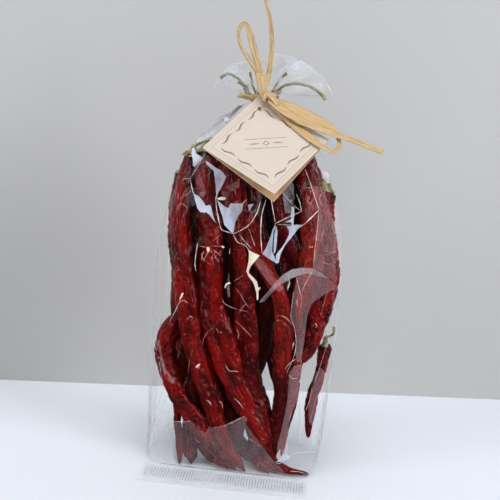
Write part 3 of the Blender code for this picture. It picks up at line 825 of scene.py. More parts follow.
# How much slimmer than a chilli's top its calyx is, where it is slimmer.
SLIM_CALYX = {"small_right": 0.62, "outer_right": 0.78}
# Chillies whose tops lie where no stalk shows.
HIDDEN_TOPS = (
    "left_bulge", "left_finger", "left_blunt", "pale_covered", "lying_tip", "foot_left", "foot_middle",
    "foot_right",
)
# The back of the bundle: thickness, how much painted shade darkens it, and its place across at the shoulder,
# at the belly and at the foot, and the foot's height. All but the shade is in mm.
BACK_CHILLIES = {
    "back_a": (13.0, 0.10, (-34, -41, -26, 8)),
    "back_b": (12.2, 0.05, (-24, -29, -12, 6)),
    "back_c": (13.4, 0.15, (-14, -17, -1, 9)),
    "back_d": (12.8, 0.0, (-3, -6, -34, 14)),
    "back_e": (12.0, 0.2, (6, 5, -17, 24)),
    "back_f": (13.2, 0.05, (15, 17, 24, 62)),
    "back_g": (12.4, 0.1, (25, 29, 28, 74)),
    "back_h": (11.8, 0.0, (30, 39, 38, 66)),
}
BACK_TOP, BACK_DEPTH = 172.0, (17.0, 22.0)
# Stalks that reach up through the tie into the open mouth, down the picture, with their thickness in mm.
MOUTH_STALKS = (
    (1.5, (
        (262, 99), (270, 95), (278, 90), (285, 85.6), (296, 83.6), (308, 86), (319, 92), (325.7, 100.2))),
    (1.5, ((257, 99), (251, 96), (246, 88), (239, 79.5), (231, 74.4), (226, 74.2), (220, 78))),
    (1.3, ((258, 99), (255, 92), (252, 82), (250, 72))),
    (1.3, ((261, 99), (258, 93), (254, 88), (252, 84))),
    (1.5, ((264, 99), (271, 93), (277, 84), (283, 76.6), (287, 73.4))),
    (1.7, ((263, 99), (270, 95.4), (275, 92), (278, 93), (281, 89.4))),
    (1.2, ((259, 99), (252, 97), (246, 93), (243, 86), (238, 82))),
    (1.4, ((257, 99), (251, 95), (248, 90), (247, 84.6))),
    (1.3, ((264, 99), (270, 98), (275, 96.4), (279, 97.6))),
    (1.2, ((258, 99), (250, 99), (244, 97.6), (240, 93))),
)
NECK_MIDDLE = Vector((0.4, 0.0, 199.0)) * MM
CALYX_RISES = (-2.8, -0.4, 1.8, 4.2)


def tapered(t, bluntness):
    """How thick a chilli is at a share of its length: full below its shoulder, thin at its tip."""
    shoulder = TOP_WIDTH + (1 - TOP_WIDTH) * ease(t, 0.0, FULL_FROM)
    return shoulder * max(1 - t**bluntness, 0.0) ** TIP_POWER + TIP_WIDTH


def chilli_line(points, thickness, bluntness, seed, tone_and_shade, foot_shade=0.0):
    """A chilli's middle line, evenly drawn through its points, with painted shade darkening its top."""
    places = np.linspace(0.0, 1.0, CHILLI_ROWS)
    rows = [smooth_row([tuple(p) for p in points], t) for t in places]
    thick = [tapered(t, bluntness) * thickness / 2 * MM * CHILLI_SWELL for t in places]
    tones_and_shades = []
    for t, row, half in zip(places, rows, thick):
        row[2] = max(row[2], half + 0.2 * MM)
        # Painted shade on the top of each chilli, and on its foot where it lies in the others' shade.
        painted_shade = TOP_SHADE * (1 - ease(t, TOP_SHADE_FROM, TOP_SHADE_TO))
        tones_and_shades.append(tone_and_shade + painted_shade + foot_shade * ease(t, FOOT_SHADE_FROM, FOOT_SHADE_TO))
    return {"points": rows, "thick": thick, "seed": seed, "tone_and_shade": tones_and_shades}


def behind_film(pixel, half, gap):
    """The place at a pixel where a thing of a half thickness lies a gap behind the film."""
    y = -20 * MM
    for _ in range(5):
        spot = at_depth(pixel, y)
        y = film_front_y(spot.x, spot.z) + half + gap
    return kept_inside(at_depth(pixel, y), half * 0.9)


def front_lines():
    """The chillies that the picture shows."""
    lines = {}
    for seed, (name, (thickness, gap, bluntness, tone_and_shade, route)) in enumerate(FRONT_CHILLIES.items(), 1):
        last = len(route) - 1
        points = []
        for k, (u, v, *own_gap) in enumerate(route):
            half = tapered(k / last, bluntness) * thickness / 2 * MM
            points.append(behind_film((u, v), half, (own_gap[0] if own_gap else gap) * MM))
        foot_shade = FOOT_SHADES.get(name, 0.0)
        lines[name] = chilli_line(points, thickness, bluntness, seed * 1.37, tone_and_shade, foot_shade)
    return lines


def back_lines():
    """Chillies that fill the bag's back. A point is in mm: across, back and up."""
    lines = {}
    for k, (name, (thickness, tone_and_shade, (top, belly, foot, low))) in enumerate(BACK_CHILLIES.items()):
        depth = BACK_DEPTH[k % 2]
        sway = 3.0 * math.sin(2.1 * k)
        middle = (BACK_TOP + low) / 2
        points = [
            (top * 0.86, depth * 0.62, BACK_TOP + 5 * math.cos(1.7 * k)),
            (top + 0.4 * (belly - top), depth * 0.92, BACK_TOP - 18),
            (belly + sway * 0.4, depth, middle + 28),
            (belly - sway * 0.3, depth, middle),
            (belly + 0.45 * (foot - belly) + sway * 0.3, depth * 0.97, middle - 26),
            (foot, depth * 0.86, low + 10),
            (foot + 0.05 * (foot - belly), depth * 0.74, low),
        ]
        spots = [kept_inside(Vector(p) * MM, thickness * 0.55 * MM) for p in points]
        lines[name] = chilli_line(spots, thickness, 3.2 + 0.6 * (k % 3), 40 + k * 1.9, tone_and_shade)
    return lines


def stalk_route(name, top, away, k):
    """A stalk's bends, from a calyx towards the neck, or as the picture shows them."""
    if name in SHOWN_STALKS:
        return [at_depth(pixel, top.y) for pixel in SHOWN_STALKS[name]]
    goal = NECK_MIDDLE + Vector((math.cos(2.4 * k), math.sin(2.4 * k), 0)) * 2.0 * MM
    reach = 0.5 + 0.5 * ((k * 7) % 5) / 4
    low = Vector((0, 0, -4.0)) * MM
    return [top.lerp(goal, 0.22) + away * 1.5 * MM, top.lerp(goal, 0.6 * reach) + low, top.lerp(goal, reach)]


def calyx_line(name, chilli, k):
    """A calyx on a chilli's top, with its stalk."""
    top, below = Vector(chilli["points"][0]), Vector(chilli["points"][2])
    away = (top - below).normalized()
    half = chilli["thick"][3] * SLIM_CALYX.get(name, 1.0)
    cap = [top + away * rise * MM for rise in CALYX_RISES]
    bends = [kept_inside(spot, 1.2 * MM) for spot in stalk_route(name, top, away, k)]
    thick = [half * 0.97, half * 0.90, half * 0.58, 1.3 * MM] + [0.85 * MM] * (len(bends) - 1) + [1.0 * MM]
    return {"points": cap + bends, "thick": thick, "seed": 3 + k * 2.3, "tone_and_shade": 0.0}


def mouth_stalk(thickness, route, k):
    """A stalk in the open mouth, a little thicker at its cut end."""
    deep, count = (2.0 + 1.2 * math.sin(1.3 * k)) * MM, len(route)
    points = [at_depth(pixel, deep * (0.4 + 0.6 * j / count)) for j, pixel in enumerate(route)]
    thick = [thickness / 2 * MM * (0.9 + 0.1 * j) for j in range(count)]
    thick[-1] = thick[-1] * 1.15
    return {"points": points, "thick": thick, "seed": 70 + k * 2.9, "tone_and_shade": 0.0}


def stalk_lines(chillies):
    """A calyx and a stalk on each chilli whose top shows, and the stalks in the mouth."""
    topped = [(k, name) for k, name in enumerate(chillies) if name not in HIDDEN_TOPS]
    lines = [calyx_line(name, chillies[name], k) for k, name in topped]
    return lines + [mouth_stalk(*stalk, k) for k, stalk in enumerate(MOUTH_STALKS)]


def add_chillies(tree):
    """The chillies and their stalks, each piece with its slot."""
    skin, stalk = chilli_skin(), dry_stalk()
    shown, back = front_lines(), back_lines()
    near = {name: line for name, line in shown.items() if name in NEAR_LAYER}
    far = {name: line for name, line in shown.items() if name not in NEAR_LAYER} | back
    shape = {"Flatten": 0.20, "Dent": 0.30, "Wrinkle": 0.13, "Pucker": 0.12, "Ridges": 0.9, "Laps": 4.6}
    front = grown("chillies_front", near.values(), tree, skin, Segments=170, Sides=38, **shape)
    behind = grown("chillies_behind", far.values(), tree, skin, Segments=120, Sides=30, **shape)
    thin = {"Flatten": 0.10, "Dent": 0.10, "Wrinkle": 0.22, "Pucker": 0.10, "Ridges": 1.6, "Laps": 3.0}
    green = grown("stalks", stalk_lines(shown | back), tree, stalk, Segments=48, Sides=14, **thin)
    return [(front, "chilli_skin"), (behind, "chilli_skin"), (green, "chilli_stem")]


# Painted reflections, highlights and shade on the film, as outlines in the picture.
# Painted reflection of the table, in the film's lower part.
TABLE_REFLECTIONS = {
    "table_shine": (
        (174, 421), (183, 421.6), (191, 420.4), (198.6, 429), (205.7, 432.4), (209.3, 425.7), (213, 428),
        (222, 426), (230, 423), (238, 419), (245, 416), (247.5, 418.5), (245.7, 424.4), (252.6, 433.6),
        (261, 443.5), (268.7, 455), (275.5, 462), (283, 470), (287, 475), (265, 475), (245, 474),
        (225.4, 471.7), (213, 464), (197.7, 452.5), (197.7, 457), (192.3, 467.7), (183.4, 465),
        (178, 462.3), (175, 438)),
}
# Painted pink reflections: the veil where the film over the chillies mirrors the room.
PINK_REFLECTIONS = {
    "arch": (
        (260, 300.7), (268.4, 290.8), (274.5, 283), (283, 274.5), (291.7, 269.3), (302, 267.6),
        (313.2, 268.4), (321.8, 272.8), (329.6, 278.8), (335.6, 285.2), (335.6, 288.3), (326.1, 293.4),
        (317.5, 298.6), (311.5, 303.8), (307.2, 315), (305.5, 328.7), (303.7, 344.2), (301.2, 361.5),
        (296.5, 362), (295.5, 354.6), (296, 342.5), (294.3, 328.7), (290.8, 317.5), (291.7, 306.3),
        (293.4, 292.6), (296.4, 281.4), (296, 277), (290, 277.9), (283, 282.2), (277, 285.7),
        (272.7, 290.8)),
    "strip": (
        (289.5, 372), (294, 366), (300, 364), (299.8, 378), (298.5, 397.6), (292.4, 410.6),
        (287.8, 425.9), (287.8, 451), (278, 460), (276.5, 458), (277.8, 442.7), (281.7, 429), (287, 403)),
    "right_panel": (
        (318.4, 211.4), (317.1, 230.5), (314.6, 251.2), (313.4, 267.8), (321, 271.5), (329.6, 277.6),
        (335.6, 283.5), (338.5, 274), (341, 258), (341.8, 243), (340.4, 227), (337.5, 213), (334, 200),
        (329, 192), (323, 187), (317, 186), (313, 190), (316, 202)),
    "right_low": (
        (309.4, 396), (313.8, 381), (316.5, 372), (321, 368), (325, 372), (324.6, 384), (322.8, 399),
        (316, 418), (312, 425), (309, 423), (308.4, 410)),
    "left_band": (
        (156.5, 341), (160, 340), (161.5, 352), (166, 369), (174.5, 380), (173, 384), (166, 379),
        (161, 366), (157.5, 354)),
    "fold_band": (
        (254.6, 260), (259, 257.5), (263.5, 262), (270, 272), (277, 281), (284, 288), (279, 292),
        (270, 285), (263, 275), (257, 266)),
    "gap_line": ((228.6, 271.5), (229.6, 282), (230, 296.8), (227.9, 296.8), (226.5, 287), (228, 280)),
}
# Painted cool highlights: the window mirrored in facets of the film.
COOL_GLINTS = {
    "shoulder_left": (
        (190.2, 148.4), (194.8, 148.4), (196.7, 153.8), (203.2, 158), (199.4, 163), (195.2, 167.2),
        (193.3, 166.4), (192.9, 157.6)),
    "slash_left": (
        (193.7, 193.6), (198.3, 195.9), (202.8, 200.4), (205.9, 205.8), (209.7, 205), (211.3, 206.6),
        (212.8, 213.5), (215.1, 221.1), (217, 223.4), (213.6, 220.3), (209.7, 215), (206.7, 212.3),
        (200.6, 212.3), (197.5, 208.1), (195.6, 201.2)),
    "band_left": (
        (205.9, 161.4), (209.7, 163), (215.1, 167.5), (221.2, 170.6), (226.2, 176.7), (223.5, 183.6),
        (220.4, 189), (217.4, 195.1), (216.2, 193.6), (215.9, 185.9), (214.7, 176.7), (213.6, 170.6),
        (207.4, 165.2)),
    "window": (
        (217.4, 200.4), (225.8, 207.3), (228.5, 208.1), (230.4, 203.5), (243.4, 203.5), (241.9, 211.2),
        (238, 216.5), (235, 223.4), (233.8, 231.8), (232.3, 233.3), (227.3, 228), (224.3, 224.9),
        (223.1, 218), (220.4, 210.4)),
    "white_fold": (
        (303.8, 224.7), (295, 225.4), (286.4, 226.3), (288.9, 230.5), (288.9, 234.6), (284.8, 242.9),
        (281.5, 247.9), (277.3, 252.9), (275.7, 255.4), (276.5, 262.8), (278.6, 262.8), (280.6, 253.7),
        (284.8, 245.4), (291.4, 237.1), (298, 228.6)),
    "white_sail": (
        (275.2, 223.8), (272.3, 230.5), (269, 240.4), (265.7, 248.7), (262.4, 253.7), (271.5, 259.5),
        (277.3, 263.2), (275, 258), (271.9, 251.2), (272.8, 238.8), (273.6, 231.3), (275.6, 227)),
    "sail_strip": (
        (276, 226), (277.5, 231), (276.8, 241), (275.5, 251), (273.6, 254), (273.4, 245), (274.2, 235)),
    "neck_right": (
        (320.8, 160), (323.8, 165), (327.9, 172.4), (332.4, 184), (331, 185.7), (322.9, 174.9),
        (319.8, 168)),
    "pale_corner": ((284.8, 222.2), (292.2, 218.4), (293.9, 222.6)),
    "small_corner": ((248, 205), (249.1, 211.2), (254.1, 203.5)),
    "foot": (
        (276.3, 461.9), (280.9, 457.3), (286.3, 452.3), (287.8, 455), (291.6, 455.7), (288.6, 458.8),
        (282.4, 461)),
    "mouth_right": (
        (286, 59), (291, 57.4), (297, 59.4), (299, 64), (296.6, 71.6), (294.6, 66), (290.6, 62.6)),
    "mouth_middle": ((277, 84), (280, 78), (282.6, 76), (281.8, 80), (279, 86)),
    "mouth_left": ((229, 68), (234, 64.6), (238.4, 65), (238, 70.6), (235.8, 76), (234.4, 70.4)),
    "mouth_low": ((221, 83), (225.4, 82.6), (227, 86.4), (223, 87.6)),
    "neck_spark": ((223.4, 117.4), (226.4, 116.6), (228.8, 118.6), (229, 121), (224.6, 121.6)),
    "neck_left": (
        (193.2, 140.6), (197, 138.6), (203, 136), (209.6, 132.6), (216, 129.4), (214.6, 133),
        (208, 137.6), (201, 141.4), (195.4, 143.8)),
}
# Painted dark reflections and shade in the film beside the neck.
DARK_REFLECTIONS_AND_SHADE = {
    "neck_line": (
        (246, 100), (242.6, 101), (236, 108.6), (229.6, 115.6), (228, 119.4), (231.4, 118.4),
        (238, 111.4), (244.4, 104.6)),
    "neck_dot": ((225.4, 121.4), (227.4, 121.6), (227.4, 123.6), (225.4, 123.4)),
}
# A painted grey band of reflection and shade in the film between the neck and the card.
GREY_REFLECTION_AND_SHADE = {
    "neck_grey": (
        (239, 103.6), (243.4, 104), (232, 114), (221, 123), (209, 131.6), (199, 137.6), (193.6, 139.4),
        (202, 132.4), (214, 122.4), (227, 112)),
}
# Painted pale reflections and veils on the film, at the arch, the feet and the mouth.
PALE_REFLECTIONS = {
    "arch_band": (
        (259, 302.4), (268.4, 290.8), (274.5, 283), (283, 274.5), (291.7, 269.3), (302, 267.6),
        (313.2, 268.4), (321.8, 272.8), (329.6, 278.8), (318, 276), (308, 273.4), (300, 274.6),
        (290, 279), (283, 283.4), (277, 287.4), (271, 294), (264, 301.4)),
    "foot_left": (
        (152, 412), (159, 408), (165, 417), (169, 431), (172.6, 446), (175, 463), (163, 466),
        (149.6, 464), (150.6, 440)),
    "foot_right": ((314, 420), (317, 408), (321.6, 398), (320, 420), (317, 441), (313, 449), (312, 440)),
    "grey_band": (
        (283.4, 184), (288, 181), (293.6, 184), (294.4, 199), (291, 213), (285.4, 213), (282.8, 199)),
    "mouth_veil_right": (
        (284, 57), (297, 57.6), (310, 66), (320, 79), (328, 95), (318, 101), (302, 104), (284, 103),
        (277, 98), (289, 86), (287, 70)),
    "mouth_veil_left": (
        (216, 83), (222, 74), (232, 66.6), (241, 63), (245, 72), (243, 84), (247, 95), (237, 91),
        (226, 87)),
}
# Painted warm highlights on the chillies and the film.
WARM_GLINTS = {
    "cream": (
        (248.3, 249.6), (254.1, 252.9), (259.9, 255.4), (254.9, 261.2), (250.8, 266.1), (248.8, 270.3),
        (249.0, 273.0), (253.2, 277.0), (257.2, 281.6), (258.2, 287.2), (261.0, 287.4), (258.6, 290.4),
        (258.2, 299.8), (256.9, 299.6), (256.4, 292), (255, 287.5), (253, 281.8), (248.3, 276),
        (246.4, 271.1), (248.6, 261.2), (249.1, 253.7)),
    "twig": (
        (217, 198.5), (221.2, 197), (224.3, 197), (226.2, 198.1), (225, 199.9), (221.2, 200.3),
        (218.1, 199.5)),
    "spark_main": ((206.8, 247.2), (209.4, 246.8), (210, 250.2), (208.6, 252.4), (207, 250.6)),
    "spark_right": ((221.8, 245.6), (224.6, 246.4), (224, 248), (222.2, 247.6)),
    "stroke_left": ((182.2, 292.6), (184, 293), (182.4, 296.6), (179.8, 300), (180.4, 297)),
    "stroke_low": ((195.6, 366.8), (197.6, 364.4), (200.4, 363.2), (199.6, 365.6), (197.2, 367.6)),
    "arc": (
        (224.5, 287.6), (225.9, 283.2), (229.3, 281.9), (231, 283), (229.2, 283.7), (227, 284.6),
        (225.6, 287.8)),
}
# Routes of crease lines, with their widths in mm: bright ones over the chillies, faint ones over clear film.
# Their ridges are real; their whiteness is painted highlight.
BRIGHT_CREASES = (
    (0.60, (
        (226.2, 176.7), (221.5, 186.6), (216.6, 196), (216.2, 205), (218.1, 216.5), (221, 228.6),
        (227, 231.8), (233, 233.6))),
    (0.40, ((218.1, 200.4), (221.2, 208.9), (223.5, 220), (224.7, 224.4))),
    (0.85, ((260.4, 202), (257.2, 211.9), (252.6, 220.3), (248, 225.7), (241.9, 229.8), (233.4, 233.6))),
    (0.62, ((266, 199.6), (262, 213.9), (260.9, 226), (260.9, 238), (262, 252.6))),
    (0.62, ((271, 198.6), (272.6, 208), (275.2, 222))),
    (0.40, ((281.5, 191.1), (287, 198.2), (293.1, 204.8), (301.4, 211.4))),
    (0.62, ((296.4, 194), (299.7, 202.3), (301.6, 211.6))),
    (0.62, ((301.6, 211.4), (288, 217.4), (275.2, 223.6))),
    (0.62, ((305.1, 169.1), (308.6, 178.8), (312.1, 189), (318.8, 209.8))),
    (0.72, ((318.8, 209.8), (311, 217.8), (303.8, 224.7))),
    (0.36, ((303.8, 224.9), (290, 225), (277.3, 224.4))),
    (0.50, ((262.2, 253.6), (269.8, 258.8), (277.4, 263.6))),
    (0.34, ((318.6, 211), (317.1, 230.5), (314.6, 251.2), (313.4, 267.8))),
    (0.50, ((190.3, 178.3), (192.9, 191.3), (196, 196.2))),
    (0.34, ((205.6, 153.4), (199.6, 163.9), (194, 172.6), (190.2, 178.3))),
    (0.30, ((190, 178.4), (184, 179), (176.4, 183.8), (171.8, 186.4))),
    (0.50, ((233.4, 234.1), (237.3, 241.8), (244.2, 244.8), (249, 250))),
    (0.40, ((239.6, 234.9), (245.7, 242.5), (251.8, 248.6))),
    (0.40, ((248.8, 228.8), (252.6, 239.5), (255, 246))),
    (0.60, ((197.7, 243.4), (195.8, 255), (195, 264.5), (196, 270.8))),
    (0.28, ((230, 248.3), (229.3, 254))),
    (0.30, ((183, 293), (176.7, 308), (169.6, 321.3))),
    (0.34, ((313.2, 269.3), (307.8, 279), (302, 290.8))),
    (0.34, (
        (293.4, 292.6), (291.7, 306.3), (290.8, 317.5), (294.6, 329), (296, 342.5), (294, 356),
        (286.6, 372.8))),
    (0.34, ((296.4, 278), (299.4, 290), (301.6, 300), (299.6, 316))),
    (0.34, ((285, 369), (290, 363), (295.6, 359))),
    (0.30, ((289, 375), (292.4, 378.4), (297, 378.2))),
    (0.36, ((225.4, 365), (229, 370.4), (234, 371), (238.8, 371.6))),
    (0.34, ((234.3, 398), (239, 402.6), (243.4, 408.2))),
    (0.30, ((156, 330), (153.9, 341), (158.4, 357.9), (162, 378.4), (165.5, 394.5), (174.5, 410.5))),
    (0.30, (
        (189, 153), (179, 172), (172.2, 187.4), (168, 205), (167.2, 220.3), (168.4, 254.8),
        (168.6, 300))),
    (0.30, (
        (312, 165), (322.9, 179.9), (329.6, 189), (335.4, 199.8), (340.6, 226.3), (342, 243),
        (338.2, 272))),
    (0.50, ((291.6, 455.7), (296, 453), (303, 451.8), (317, 451.6))),
    (0.36, ((275.4, 462), (279, 463.6), (282, 462))),
    (0.34, ((290, 471.4), (298.5, 471.6), (307.9, 474.6))),
    (0.34, ((174, 421), (183, 421.8), (191, 420.6))),
    (0.30, ((213, 428), (222, 426.2), (230, 423.2), (238, 419.2), (245, 416.2))),
)
# Painted pink highlights where crumpled film lies against the chillies.
PINK_GLIMMER_CREASES = (
    (0.50, ((199.5, 246), (206, 247), (213, 246), (223, 246.6))),
    (0.60, ((207, 248), (207.6, 252), (205, 258), (203.6, 262))),
    (0.50, ((210, 249), (214, 255), (219, 262))),
    (0.44, ((211, 248.6), (216, 251.6), (221, 256))),
    (0.44, ((204, 251), (201.6, 257), (202, 261))),
    (0.50, ((213, 253), (212, 259), (214, 265))),
    (0.40, ((212, 241.6), (217, 237.6), (221.6, 233.4))),
    (0.70, ((180.4, 302), (184, 300.4), (188, 303.4))),
    (0.80, ((187, 319.4), (190.4, 316.4), (193, 318.4))),
    (0.80, ((216, 328), (219, 331.4), (222, 332.6))),
    (0.34, ((232, 282), (238, 278.6), (243, 275.4))),
    (0.34, ((234, 287), (240, 293.6), (246, 304), (252, 309))),
    (0.30, ((247, 303), (243, 306.6), (238, 314))),
    (0.34, ((236, 321), (243, 328), (252, 337))),
    (0.50, ((276, 316.7), (281, 315.6), (287, 318.6), (292, 325))),
    (0.44, ((276, 320.4), (281, 320.6), (287.4, 326.2))),
    (0.80, ((236.6, 329), (238.6, 333.4), (238, 339))),
    (0.44, ((178, 206), (182, 203.6), (187, 208), (186, 213))),
    (0.60, ((318.6, 185), (323, 181.6), (326.6, 186), (324, 192), (319.6, 197), (321, 204), (326, 207))),
    (0.50, ((304, 188), (311, 187.6), (317, 186.4))),
    (0.70, ((306, 201), (310, 203.6), (314, 207.6))),
    (0.50, ((308.6, 207), (311, 203), (313, 199.6))),
    (0.44, ((326, 216), (324, 226), (321.6, 237), (318, 247))),
    (0.60, ((316.6, 238), (319, 241), (321, 240.4))),
    (0.50, ((324, 256), (331, 252.6), (338.6, 251))),
    (0.50, ((322, 262), (329, 264), (337, 261.6))),
    (0.60, ((308, 245.6), (311.6, 247.6), (313, 245.4))),
    (0.80, ((197, 364), (199.4, 366.4), (198, 369))),
    (0.80, ((206, 400), (209, 401.4), (211, 405))),
    (0.70, ((219.4, 401), (222, 403.4), (222.6, 408))),
    (0.70, ((314.6, 323), (316.6, 325.4), (315.6, 328))),
)
FAINT_CREASES = (
    (0.40, ((241, 104), (223, 121), (204, 137), (190, 148.6))),
    (0.34, ((250, 102), (236, 116), (221, 128), (210, 137))),
    (0.36, ((168, 190), (161, 225), (158.6, 262), (155, 300), (152, 330))),
    (0.30, ((157, 240), (155.4, 290), (151.6, 340), (150.6, 390), (153, 430), (148, 455))),
    (0.34, ((162, 245), (160, 275), (156, 310), (154, 326))),
    (0.40, ((152, 345), (151.4, 372), (150.6, 400), (154, 424), (158, 440))),
    (0.30, ((157, 415), (163, 417), (167, 424), (162, 428), (156, 424))),
    (0.34, ((343, 247), (341.6, 268), (336.6, 292), (338, 330), (331, 384), (322, 440))),
    (0.34, ((328.6, 340), (322, 360), (315.6, 380))),
    (0.34, ((308, 382), (303, 398), (302, 425), (297, 446))),
    (0.34, ((299.6, 399), (305, 388), (311, 372))),
    (0.34, ((292.4, 410.6), (288.4, 426), (288, 450))),
    (0.30, ((302, 404), (300.6, 424), (301, 446))),
    (0.34, ((301.2, 360), (300.6, 380), (300.2, 404))),
    (0.30, ((320, 447), (316, 466), (311.6, 479))),
    (0.30, ((145.4, 463), (150, 440), (153, 426))),
    (0.36, ((321, 161), (326, 170), (331, 181), (335, 197))),
)


def on_film(tree, pixel, lift):
    """The film's point at a pixel, lifted off it, or None where the film isn't."""
    eye, way = sight(pixel)
    spot, normal, _, _ = tree.ray_cast(eye, way)
    return None if spot is None else spot + normal * lift - way * lift * PATCH_SLIDE


def painted_patch(shape, tree, outline, lift):
    """Lays an outline of the picture on the film as a skin of small faces."""
    edge = [Vector(p) for p in outline]
    rim = []
    for start, end in zip(edge, edge[1:] + edge[:1]):
        steps = max(int((end - start).length / PATCH_CELL), 1)
        rim += [start.lerp(end, k / steps) for k in range(steps)]
    columns, rows = (
        np.arange(min(p[k] for p in edge), max(p[k] for p in edge), PATCH_CELL) for k in (0, 1)
    )
    inside = [Vector((u, v)) for u in columns for v in rows]
    count = len(rim)
    ring = [(k, (k + 1) % count) for k in range(count)]
    spots, _, faces, _, _, _ = delaunay_2d_cdt(rim + inside, ring, [list(range(count))], 1, 1e-4)
    placed = {}
    for face in faces:
        for k in face:
            if k not in placed:
                spot = on_film(tree, spots[k], lift)
                placed[k] = spot and shape.verts.new(spot)
        corners = [placed[k] for k in face]
        if all(corners) and len(set(corners)) == len(corners):
            longest = max((a.co - b.co).length for a, b in zip(corners, corners[1:] + corners[:1]))
            if longest < PATCH_REACH:
                shape.faces.new(corners)


# Each kind of painted reflection, highlight and shade on the film: its piece, outlines, finish, colour, how
# clear and how cloudy it is, its grain, and its lift in mm.
PAINTED_LIGHT_KINDS = (
    ("painted_table_reflection", TABLE_REFLECTIONS, "table_reflection_film", (0.96, 0.78, 0.84), 0.045, 0.105, 95.0, 0.20),
    ("painted_pink_reflections", PINK_REFLECTIONS, "pink_reflection_film", (0.98, 0.64, 0.68), 0.075, 0.15, 45.0, 0.20),
    ("painted_dark_reflections_and_shade", DARK_REFLECTIONS_AND_SHADE, "dark_reflection_and_shade_film", (0.05, 0.055, 0.05), 0.25, 0.72, 95.0, 0.24),
    ("painted_grey_reflection_and_shade", GREY_REFLECTION_AND_SHADE, "grey_reflection_and_shade_film", (0.22, 0.24, 0.24), 0.10, 0.30, 95.0, 0.22),
    ("painted_pale_reflections", PALE_REFLECTIONS, "pale_reflection_film", (0.86, 0.90, 0.95), 0.05, 0.26, 95.0, 0.28),
    ("cool_glints", COOL_GLINTS, "cool_glint", (0.62, 0.68, 0.82), 0.40, 0.96, 95.0, 0.32),
    ("warm_glints", WARM_GLINTS, "warm_glint", (1.0, 0.88, 0.70), 0.62, 1.0, 95.0, 0.40),
)


def add_painted_light(tree):
    """The painted reflections, highlights and shade on the film, each kind as one piece."""
    made = []
    for name, outlines, finish, colour, clear, cloudy, grain, lift in PAINTED_LIGHT_KINDS:
        shape = bmesh.new()
        for outline in outlines.values():
            painted_patch(shape, tree, outline, lift * MM)
        loose = [v for v in shape.verts if not v.link_faces]
        bmesh.ops.delete(shape, geom=loose, context="VERTS")
        bmesh.ops.recalc_face_normals(shape, faces=shape.faces)
        skin = film_glint(finish, colour, clear, cloudy, fineness=grain)
        made.append(link(name, mesh_from(name, shape), skin))
    return made


def film_route(tree, start, end, bend):
    """A route down the film between two (turn, share of height) places, bent a little to one side."""
    spots = []
    for k in range(ROUTE_STEPS):
        t = k / (ROUTE_STEPS - 1)
        turn = start[0] + (end[0] - start[0]) * t + bend * math.sin(math.pi * t)
        place = start[1] + (end[1] - start[1]) * t
        spot, normal, _, _ = tree.find_nearest(bag_ring(place, [turn])[0])
        spots.append(spot + normal * SCATTERED_LIFT)
    return spots


def picture_route(tree, route):
    """A route of the picture, laid on the film."""
    steps = 6 * (len(route) - 1)
    spots = [on_film(tree, smooth_row(route, j / steps), TRACED_LIFT) for j in range(steps + 1)]
    return [spot for spot in spots if spot is not None]


def mouth_lines():
    """The mouth's rim, and the pleat lines that fan out to it from the neck, whose whiteness is painted
    highlight.
    """
    draw = random.Random(31)
    rim = [flare_ring(1.0, FLARE_WALL / 2, [2 * math.pi * k / 96])[0] for k in range(97)]
    lines = [(rim[k:k + 25], 0.55, 200 + k) for k in range(0, 96, 24)]
    for k in range(26):
        turn = 2 * math.pi * k / 26 + draw.uniform(-0.09, 0.09)
        lean, reach = draw.uniform(-0.12, 0.12), draw.uniform(0.75, 1.0)
        shares = [0.04 + (reach - 0.04) * j / 11 for j in range(12)]
        fold = [flare_ring(share, 0.0, [turn + lean * share])[0] for share in shares]
        lines.append((fold, draw.uniform(0.26, 0.60), 220 + k))
    return lines


def traced(tree, creases, first_seed):
    """The creases of the picture, laid on the film, each with its width and its own seed."""
    return [(picture_route(tree, route), width, first_seed + k) for k, (width, route) in enumerate(creases)]


def pink_glimmer_lines(tree):
    """The painted pink highlights of the picture, and more of them all round the bag."""
    lines = traced(tree, PINK_GLIMMER_CREASES, 300)
    draw = random.Random(53)
    for k in range(GLIMMERS):
        turn, place = draw.uniform(-math.pi, math.pi), draw.uniform(0.12, 0.80)
        reach = draw.uniform(0.008, 0.03)
        ends = (turn, place), (turn + draw.uniform(-0.16, 0.16), place - reach)
        bend = draw.uniform(-0.07, 0.07)
        lines.append((film_route(tree, *ends, bend), draw.uniform(0.24, 0.62), 340 + k))
    return lines


def faint_lines(tree):
    """Crease lines over clear film, pleats below the neck, and long creases over the back and sides, white
    with painted highlight.
    """
    lines = traced(tree, FAINT_CREASES, 30)
    draw = random.Random(19)
    for k in range(NECK_FOLDS):
        turn = 2 * math.pi * k / NECK_FOLDS + draw.uniform(-0.06, 0.06)
        ends = (turn, 0.93), (turn + draw.uniform(-0.25, 0.25), draw.uniform(0.66, 0.80))
        bend = draw.uniform(-0.08, 0.08)
        lines.append((film_route(tree, *ends, bend), draw.uniform(0.20, 0.36), 60 + k))
    for k in range(BACK_FOLDS):
        turn = draw.uniform(-0.3, math.pi + 0.3)
        place = draw.uniform(0.15, 0.75)
        side, drop = draw.uniform(-0.45, 0.45), draw.uniform(0.1, 0.4)
        ends = (turn, place), (turn + side, max(place - drop, 0.03))
        bend = draw.uniform(-0.12, 0.12)
        lines.append((film_route(tree, *ends, bend), draw.uniform(0.20, 0.42), 100 + k))
    return lines


